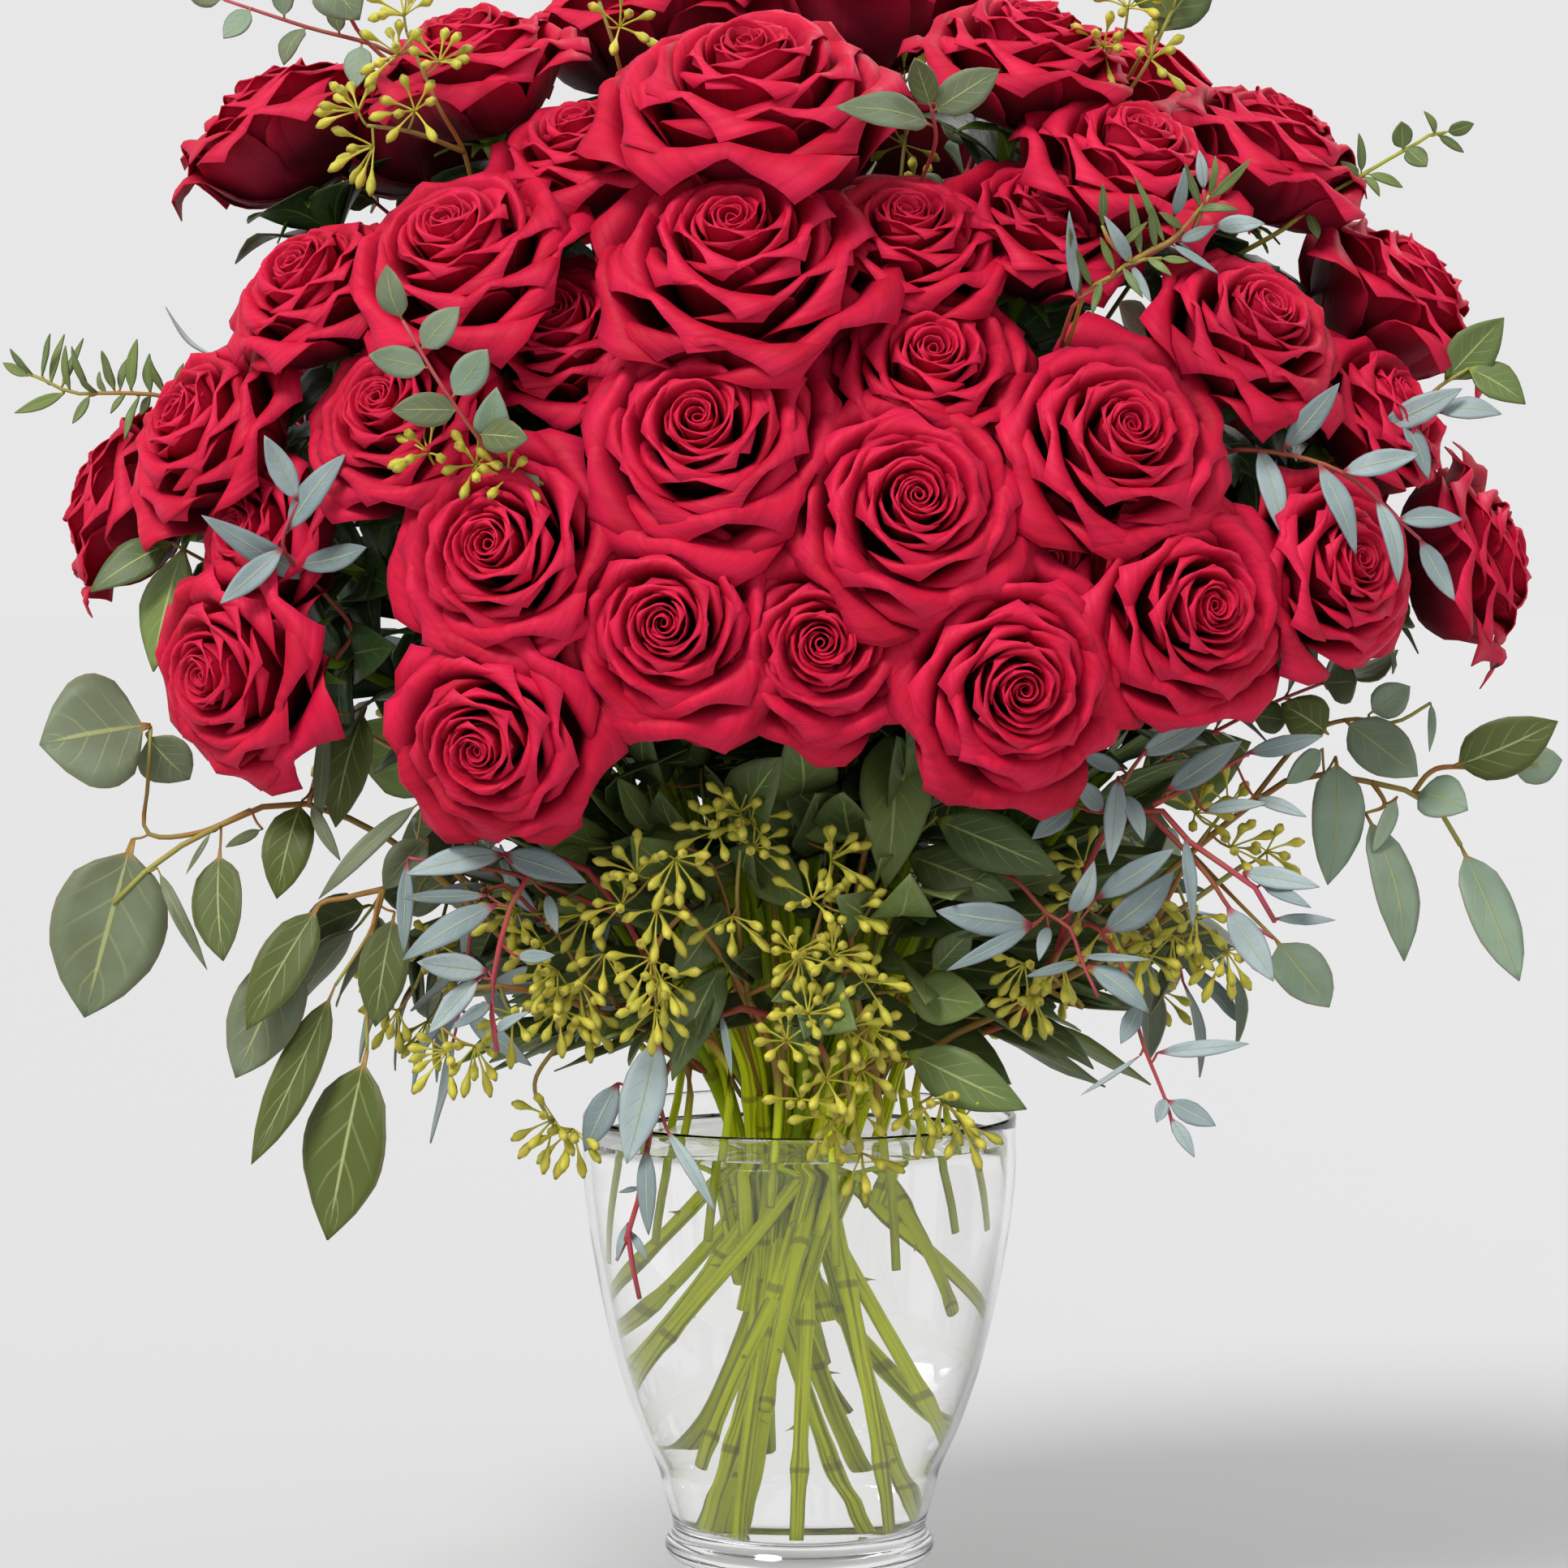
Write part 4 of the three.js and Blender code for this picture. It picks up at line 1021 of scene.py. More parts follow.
kinds = {
    "dollar": {"twig": "brownTwig", "leaf": "silverLeaf", "outline": "round"},
    "olive": {"twig": "brownTwig", "leaf": "oliveLeaf", "outline": "pointed"},
    "willow": {"twig": "redTwig", "leaf": "willowLeaf", "outline": "narrow"},
    "seeded": {"twig": "brownTwig", "stalk": "seedTwig"},
}

sprays = {
    "dollar_left": {
        "bearing": -160, **kinds["dollar"],
        "tones": (0.35, 0.6), "green": (3, 4, 6, 7, 8, 10, 15),  # these leaves are greener than the rest
        "twigs": [
            [(-95, -45, 262), (-140, -56, 305), (-175, -66, 323), (-195, -70, 321), (-209, -72, 314),
             (-227, -72, 304), (-244, -74, 288)],
            [(-195, -70, 321), (-214, -70, 313), (-232, -70, 313), (-232, -68, 330), (-231, -66, 350)],
            [(-108, -49, 275), (-128, -72, 303), (-147, -84, 294), (-151, -86, 280), (-164, -86, 260)],
            [(-147, -84, 294), (-152, -86, 272), (-153, -84, 237)],
            [(-147, -84, 294), (-160, -84, 291), (-170, -84, 288), (-177, -82, 273)],
            [(-175, -66, 323), (-169, -78, 342), (-166, -82, 356)],
        ],
        "leaves": [
            ((-231, -66, 351), (-268, -80, 346), 44), ((-233, -64, 348), (-218, -58, 332), 23),
            ((-237, -70, 311), (-254, -78, 248), 42), ((-205, -80, 308), (-202, -92, 269), 21),
            ((-169, -84, 289), (-194, -96, 245), 19), ((-178, -80, 273), (-199, -90, 228), 26),
            ((-164, -86, 260), (-193, -96, 198), 16), ((-153, -84, 237), (-167, -88, 170), 34),
            ((-143, -84, 286), (-150, -90, 246), 18), ((-131, -88, 312), (-146, -96, 295), 14),
            ((-176, -78, 325), (-184, -90, 291), 18), ((-167, -84, 356), (-169, -94, 316), 6),
            ((-172, -90, 325), (-161, -98, 305), 5), ((-132, -96, 326), (-168, -104, 292), 7),
            ((-228, -74, 301), (-209, -88, 266), 5), ((-154, -70, 358), (-166, -76, 316), 19),
            ((-190, -80, 315), (-202, -90, 309), 4), ((-208, -80, 314), (-216, -88, 300), 2),
        ],
    },
    "dollar_right": {
        "bearing": -12, **kinds["dollar"],
        "tones": (0.75, 1), "green": (5, 9),
        "twigs": [
            [(95, -45, 262), (140, -56, 305), (175, -62, 332), (190, -64, 333), (219, -62, 327),
             (229, -62, 320), (236, -62, 308)],
            [(219, -62, 327), (225, -60, 334), (233, -58, 336), (254, -56, 335), (264, -56, 338)],
            [(160, -60, 322), (180, -58, 346), (196, -60, 353), (212, -62, 352), (225, -62, 359)],
            [(204, -63, 331), (208, -68, 323), (201, -70, 320)],
            [(140, -56, 305), (155, -76, 289), (168, -80, 276)],
        ],
        "leaves": [
            ((191, -64, 340), (188, -78, 296), 20), ((194, -62, 353), (219, -74, 333), 20),
            ((201, -70, 320), (215, -82, 269), 19), ((220, -62, 327), (237, -74, 321), 18),
            ((236, -62, 308), (255, -72, 260), 22), ((233, -58, 336), (268, -74, 352), 22),
            ((254, -56, 335), (274, -50, 338), 14), ((168, -80, 276), (186, -92, 253), 23),
            ((212, -72, 326), (203, -82, 307), 7), ((188, -66, 348), (171, -70, 359), 18),
            ((203, -62, 355), (217, -66, 365), 13), ((225, -62, 359), (223, -74, 342), 3),
            ((186, -66, 343), (172, -80, 331), 9),
        ],
    },
    "leafy_centre": {
        "bearing": -62, **kinds["olive"],
        "twigs": [
            [(22, -66, 245), (18, -78, 276), (24, -84, 313), (30, -86, 347)],
            [(18, -78, 276), (36, -84, 307), (48, -92, 320)],
            [(20, -72, 256), (37, -84, 258)],
            [(20, -60, 226), (38, -80, 236)],
            [(-8, -50, 228), (-22, -80, 260), (-26, -78, 289), (-38, -80, 308), (-75, -80, 308)],
        ],
        "leaves": [
            ((32, -86, 350), (31, -112, 298), 27), ((48, -92, 319), (91, -110, 301), 21),
            ((38, -84, 306), (74, -104, 292), 20), ((37, -84, 258), (65, -98, 254), 20),
            ((38, -80, 236), (80, -92, 217), 21), ((19, -80, 312), (-6, -96, 333), 22),
            ((47, -80, 265), (61, -84, 280), 13), ((-2, -78, 312), (-9, -90, 338), 20),
            ((-19, -80, 308), (1, -100, 289), 19), ((-27, -84, 268), (-45, -104, 229), 17),
            ((-26, -76, 289), (-45, -92, 262), 18), ((-52, -84, 314), (-64, -96, 334), 11),
            ((-75, -80, 308), (-95, -100, 297), 12),
        ],
    },
    "willow_left": {
        "bearing": -116, **kinds["willow"],
        "twigs": [
            [(-45, -75, 250), (-62, -92, 285), (-80, -104, 306), (-95, -112, 300), (-102, -116, 285),
             (-105, -118, 271), (-107, -118, 257), (-105, -118, 240)],
            [(-62, -92, 285), (-100, -96, 300), (-137, -100, 306)],
        ],
        "leaves": [
            ((-103, -112, 308), (-135, -124, 303), 10), ((-108, -116, 294), (-138, -126, 294), 5),
            ((-105, -116, 291), (-137, -126, 273), 10), ((-108, -118, 268), (-132, -128, 272), 10),
            ((-111, -118, 266), (-128, -126, 247), 8), ((-98, -118, 273), (-85, -126, 274), 5),
            ((-103, -108, 308), (-74, -120, 299), 11), ((-107, -118, 257), (-120, -128, 249), 5),
            ((-105, -118, 247), (-94, -130, 255), 4), ((-137, -104, 305), (-138, -108, 273), 6),
            ((-88, -108, 294), (-84, -118, 281), 5),
        ],
    },
    "willow_front": {
        "bearing": -80, **kinds["willow"],
        "twigs": [
            [(4, -68, 240), (-20, -86, 252), (-38, -94, 244), (-50, -92, 224), (-53, -90, 208),
             (-57, -86, 185), (-61, -84, 171), (-59, -82, 158), (-57, -80, 148)],
            [(-61, -84, 171), (-65, -82, 162)],
            [(-51, -92, 224), (-47, -94, 210)],
            [(-20, -86, 252), (-28, -92, 250)],
        ],
        "leaves": [
            ((-50, -96, 243), (-61, -102, 199), 16), ((-54, -92, 204), (-53, -96, 173), 7),
            ((-64, -90, 226), (-76, -92, 202), 11), ((-47, -94, 210), (-30, -102, 182), 5),
            ((-28, -92, 251), (-24, -100, 229), 3), ((-61, -80, 175), (-65, -84, 162), 3),
            ((-60, -80, 172), (-54, -84, 162), 3), ((-57, -84, 188), (-64, -88, 187), 2),
        ],
    },
    "willow_right": {
        "bearing": -26, **kinds["willow"],
        "twigs": [
            [(84, -55, 250), (96, -86, 290), (108, -104, 318), (122, -112, 325), (134, -116, 313),
             (147, -116, 304), (159, -118, 295), (164, -118, 285)],
            [(120, -110, 323), (140, -114, 302), (150, -114, 288), (164, -114, 279)],
            [(60, -60, 300), (73, -104, 300), (85, -114, 288), (93, -118, 283), (97, -118, 272),
             (103, -118, 259)],
            [(86, -62, 262), (101, -100, 283), (115, -108, 262), (118, -112, 245), (126, -110, 225),
             (129, -110, 216), (130, -110, 211)],
            [(108, -104, 318), (112, -106, 332), (120, -106, 344)],
            [(122, -112, 325), (140, -108, 334), (156, -108, 343)],
        ],
        "leaves": [
            ((118, -104, 342), (143, -116, 356), 9), ((127, -112, 330), (152, -124, 348), 10),
            ((155, -108, 343), (181, -112, 349), 7), ((110, -112, 335), (106, -126, 305), 8),
            ((112, -112, 329), (118, -122, 313), 7), ((105, -108, 323), (94, -118, 334), 8),
            ((95, -110, 325), (80, -120, 314), 8), ((102, -118, 293), (128, -130, 311), 9),
            ((93, -118, 288), (101, -128, 306), 8), ((105, -112, 281), (129, -120, 302), 13),
            ((133, -116, 315), (135, -128, 284), 5), ((148, -114, 290), (163, -124, 265), 11),
            ((153, -116, 302), (178, -128, 298), 8), ((159, -118, 298), (175, -130, 291), 5),
            ((164, -116, 286), (184, -124, 286), 4), ((100, -118, 270), (120, -126, 255), 9),
            ((97, -118, 271), (77, -130, 267), 4), ((97, -118, 273), (120, -130, 273), 3),
            ((118, -112, 256), (111, -118, 243), 7), ((124, -112, 239), (155, -118, 243), 6),
            ((118, -112, 238), (97, -120, 225), 2), ((128, -110, 222), (144, -116, 214), 8),
            ((127, -110, 223), (124, -114, 215), 5), ((129, -110, 216), (137, -114, 203), 5),
            ((80, -116, 284), (47, -122, 289), 12), ((80, -116, 283), (51, -126, 269), 6),
            ((86, -114, 283), (82, -124, 272), 5), ((140, -110, 323), (161, -122, 326), 5),
            ((112, -104, 337), (97, -112, 343), 6), ((158, -108, 327), (175, -116, 321), 5),
        ],
    },
    "seeded_left": {
        "bearing": -134, **kinds["seeded"],
        "twigs": [
            [(-72, -76, 250), (-112, -88, 260), (-126, -92, 246)],
            [(-74, -77, 251), (-93, -90, 228), (-88, -90, 212)],
            [(-72, -76, 250), (-80, -90, 270), (-90, -92, 286)],
            [(-64, -72, 250), (-72, -92, 264), (-78, -96, 258)],
        ],
        "fans": [
            ((-137, -104, 232), (-115, -88, 241), 7), ((-115, -110, 234), (-113, -94, 244), 9),
            ((-97, -98, 207), (-80, -82, 217), 9), ((-82, -96, 199), (-79, -80, 216), 9),
            ((-81, -108, 253), (-75, -92, 269), 9), ((-95, -112, 263), (-78, -96, 269), 9),
            ((-102, -108, 275), (-82, -92, 276), 8), ((-73, -104, 245), (-77, -88, 258), 8),
            ((-88, -110, 246), (-82, -94, 258), 8), ((-107, -112, 246), (-96, -96, 255), 7),
            ((-69, -110, 263), (-68, -94, 279), 8), ((-83, -108, 284), (-68, -92, 288), 8),
            ((-109, -104, 284), (-93, -88, 289), 7),
        ],
    },
    "seeded_centre": {
        "bearing": -98, **kinds["seeded"],
        "twigs": [
            [(-20, -80, 258), (-40, -102, 288), (-52, -112, 300)],
            [(-18, -78, 254), (-22, -105, 290), (-20, -110, 318)],
            [(-19, -80, 256), (0, -98, 268), (8, -108, 290), (12, -108, 308)],
            [(-40, -102, 288), (-50, -110, 275), (-50, -104, 250)],
            [(-5, -66, 236), (8, -92, 262), (14, -104, 250), (16, -98, 228), (20, -80, 207)],
            [(-5, -66, 236), (-2, -90, 250), (-2, -100, 270)],
            [(8, -92, 262), (22, -102, 268), (28, -104, 262)],
            [(26, -56, 230), (42, -78, 232), (50, -82, 224)],
        ],
        "fans": [
            ((-63, -128, 312), (-52, -112, 295), 10), ((-72, -124, 296), (-55, -108, 287), 7),
            ((-39, -130, 299), (-46, -114, 312), 9), ((-46, -126, 284), (-52, -110, 293), 8),
            ((-53, -122, 264), (-51, -106, 277), 8), ((-44, -122, 256), (-51, -106, 270), 9),
            ((-51, -118, 247), (-50, -102, 259), 8), ((-25, -126, 335), (-18, -110, 315), 9),
            ((-39, -124, 323), (-22, -108, 312), 9), ((-11, -122, 318), (-20, -106, 305), 9),
            ((-17, -120, 330), (-17, -104, 312), 8), ((-22, -116, 274), (-25, -100, 294), 8),
            ((1, -114, 260), (-1, -98, 280), 9), ((19, -122, 315), (5, -106, 300), 9),
            ((6, -124, 301), (3, -108, 286), 9), ((26, -122, 294), (10, -106, 284), 9),
            ((-2, -120, 283), (-2, -104, 267), 9), ((17, -124, 280), (7, -108, 268), 10),
            ((31, -118, 269), (16, -102, 260), 8), ((5, -122, 262), (1, -106, 246), 10),
            ((22, -120, 255), (12, -104, 242), 9), ((-6, -118, 251), (-4, -102, 237), 9),
            ((12, -114, 236), (7, -98, 224), 9), ((28, -110, 229), (17, -94, 234), 8),
            ((-2, -108, 229), (1, -92, 216), 8), ((31, -112, 243), (19, -96, 249), 8),
            ((19, -92, 209), (20, -76, 221), 7), ((7, -92, 205), (12, -76, 218), 7),
            ((23, -88, 190), (21, -72, 206), 6), ((50, -96, 209), (50, -80, 225), 8),
            ((44, -96, 213), (41, -80, 222), 6), ((61, -94, 207), (54, -78, 214), 6),
        ],
    },
    "seeded_right": {
        "bearing": -42, **kinds["seeded"],
        "twigs": [
            [(84, -66, 254), (124, -84, 280), (156, -82, 302)],
            [(88, -68, 257), (100, -82, 252), (88, -82, 264)],
            [(90, -69, 258), (118, -86, 274), (146, -92, 280)],
            [(124, -84, 280), (138, -84, 306), (148, -84, 320)],
            [(84, -66, 254), (98, -82, 284), (104, -84, 298)],
        ],
        "fans": [
            ((153, -104, 262), (147, -88, 280), 9), ((140, -104, 275), (138, -88, 291), 9),
            ((130, -104, 267), (131, -88, 286), 9), ((119, -104, 260), (120, -88, 280), 8),
            ((77, -96, 243), (85, -80, 265), 8), ((73, -98, 260), (83, -82, 273), 8),
            ((93, -98, 258), (92, -82, 276), 7), ((112, -102, 274), (106, -86, 289), 8),
            ((144, -100, 332), (135, -84, 314), 8), ((157, -98, 335), (146, -82, 316), 8),
            ((159, -100, 312), (146, -84, 307), 8), ((172, -96, 308), (159, -80, 307), 7),
            ((94, -100, 314), (103, -84, 295), 7), ((91, -98, 296), (103, -82, 287), 7),
            ((123, -104, 285), (117, -88, 298), 8),
        ],
    },
    "back_left": {
        "bearing": 140, **kinds["olive"],
        "twigs": [[(-66, 62, 262), (-100, 88, 296), (-134, 92, 326)]],
        "leaves": [
            ((-134, 92, 326), (-176, 98, 344), 34), ((-118, 90, 312), (-158, 104, 292), 32),
            ((-107, 89, 302), (-92, 116, 334), 34), ((-100, 88, 296), (-122, 104, 262), 30),
            ((-84, 76, 280), (-62, 104, 274), 30),
        ],
    },
    "back_right": {
        "bearing": 48, **kinds["olive"],
        "twigs": [[(60, 64, 260), (96, 90, 292), (132, 92, 322)]],
        "leaves": [
            ((132, 92, 322), (176, 96, 338), 34), ((114, 91, 307), (152, 104, 286), 32),
            ((102, 90, 297), (88, 118, 332), 34), ((96, 90, 292), (114, 104, 256), 30),
            ((78, 78, 276), (46, 106, 268), 30),
        ],
    },
}
for name, plan in sprays.items():
    makeSpray(name, plan, name)
print("sprays hang round the neck")


# dark leaves that fill the neck behind the sprays, and more sprays round its sides and back

neck = {"leaves": 210, "radius": (34, 74), "widen": 0.34, "height": (236, 342), "length": (42, 62),
        "share": 0.42, "stretch": (1.15, 0.95, 1), "twigsEvery": 0.35, "lastTwig": 6.2}
neckLeaves = []
for i in range(neck["leaves"]):
    bearing = goldenTurn * i + 0.3 * float(chance(i))
    low = float(chance(i + 0.2))
    high = within(neck["height"], low)
    radius = within(neck["radius"], chance(i + 0.4)) + neck["widen"] * (high - neck["height"][0])
    base = ringPoint(radius, bearing, high) * neck["stretch"]
    far = within(neck["length"], chance(i + 0.6))
    ray = ringPoint(1, bearing + 0.9 * (float(chance(i + 0.8)) - 0.5), 1.15 * (low - 0.35))
    neckLeaves.append((tuple(base), tuple(base + far * unit(ray)), neck["share"] * far))
neckTwigs = [[ringPoint(30, bearing, 215), ringPoint(46, bearing, 250), ringPoint(72, bearing, 330)]
             for bearing in np.arange(0, neck["lastTwig"], neck["twigsEvery"])]
makeSpray("neck_fill", {**kinds["olive"], "turn": 0.9, "twigs": neckTwigs, "leaves": neckLeaves})

rings = {
    "leafy_ring": {
        **kinds["dollar"], "turn": 0.9, "seed": 3,
        "bearings": [4, 26, 66, 88, 112, 162, 178, -176], "reach": 118, "top": 300, "low": 262,
        "each": {"pairs": 4, "length": (28, 44), "width": 0.66},
    },
    "seeded_ring": {
        **kinds["seeded"], "seed": 7,
        "bearings": [14, 36, 58, 78, 100, 124, 150, 170, -170], "reach": 104, "top": 286, "low": 240,
        "each": {"count": 5},
    },
    "willow_ring": {
        **kinds["willow"], "turn": 0.9, "seed": 5,
        "bearings": [20, 94, 132, -148], "reach": 122, "top": 296, "low": 236,
        "each": {"pairs": 6, "length": (28, 40), "width": 0.22},
    },
}


def ringTwig(plan, degrees, seed):
    # leaves the mouth, rises outwards and hangs at its end
    bearing, own = math.radians(degrees), float(chance(seed + degrees))
    wide = np.array([1.35, 0.92, 1])  # the bouquet is wider than it is deep
    reach = plan["reach"] * (0.86 + 0.24 * own)
    return [ringPoint(40, bearing, 222), ringPoint(0.62 * reach, bearing + 0.1, 258) * wide,
            ringPoint(0.88 * reach, bearing + 0.16 * own, plan["top"] - 8 * own) * wide,
            ringPoint(reach, bearing + 0.25 * own, plan["low"] + 16 * own) * wide]


for name, plan in rings.items():
    plan["twigs"] = [ringTwig(plan, degrees, i) for i, degrees in enumerate(plan["bearings"])]
    growAlong(plan, plan["seed"])
    makeSpray(name, plan)
print("the neck is filled all round")


# sprigs among the roses, from beside a rose's stem

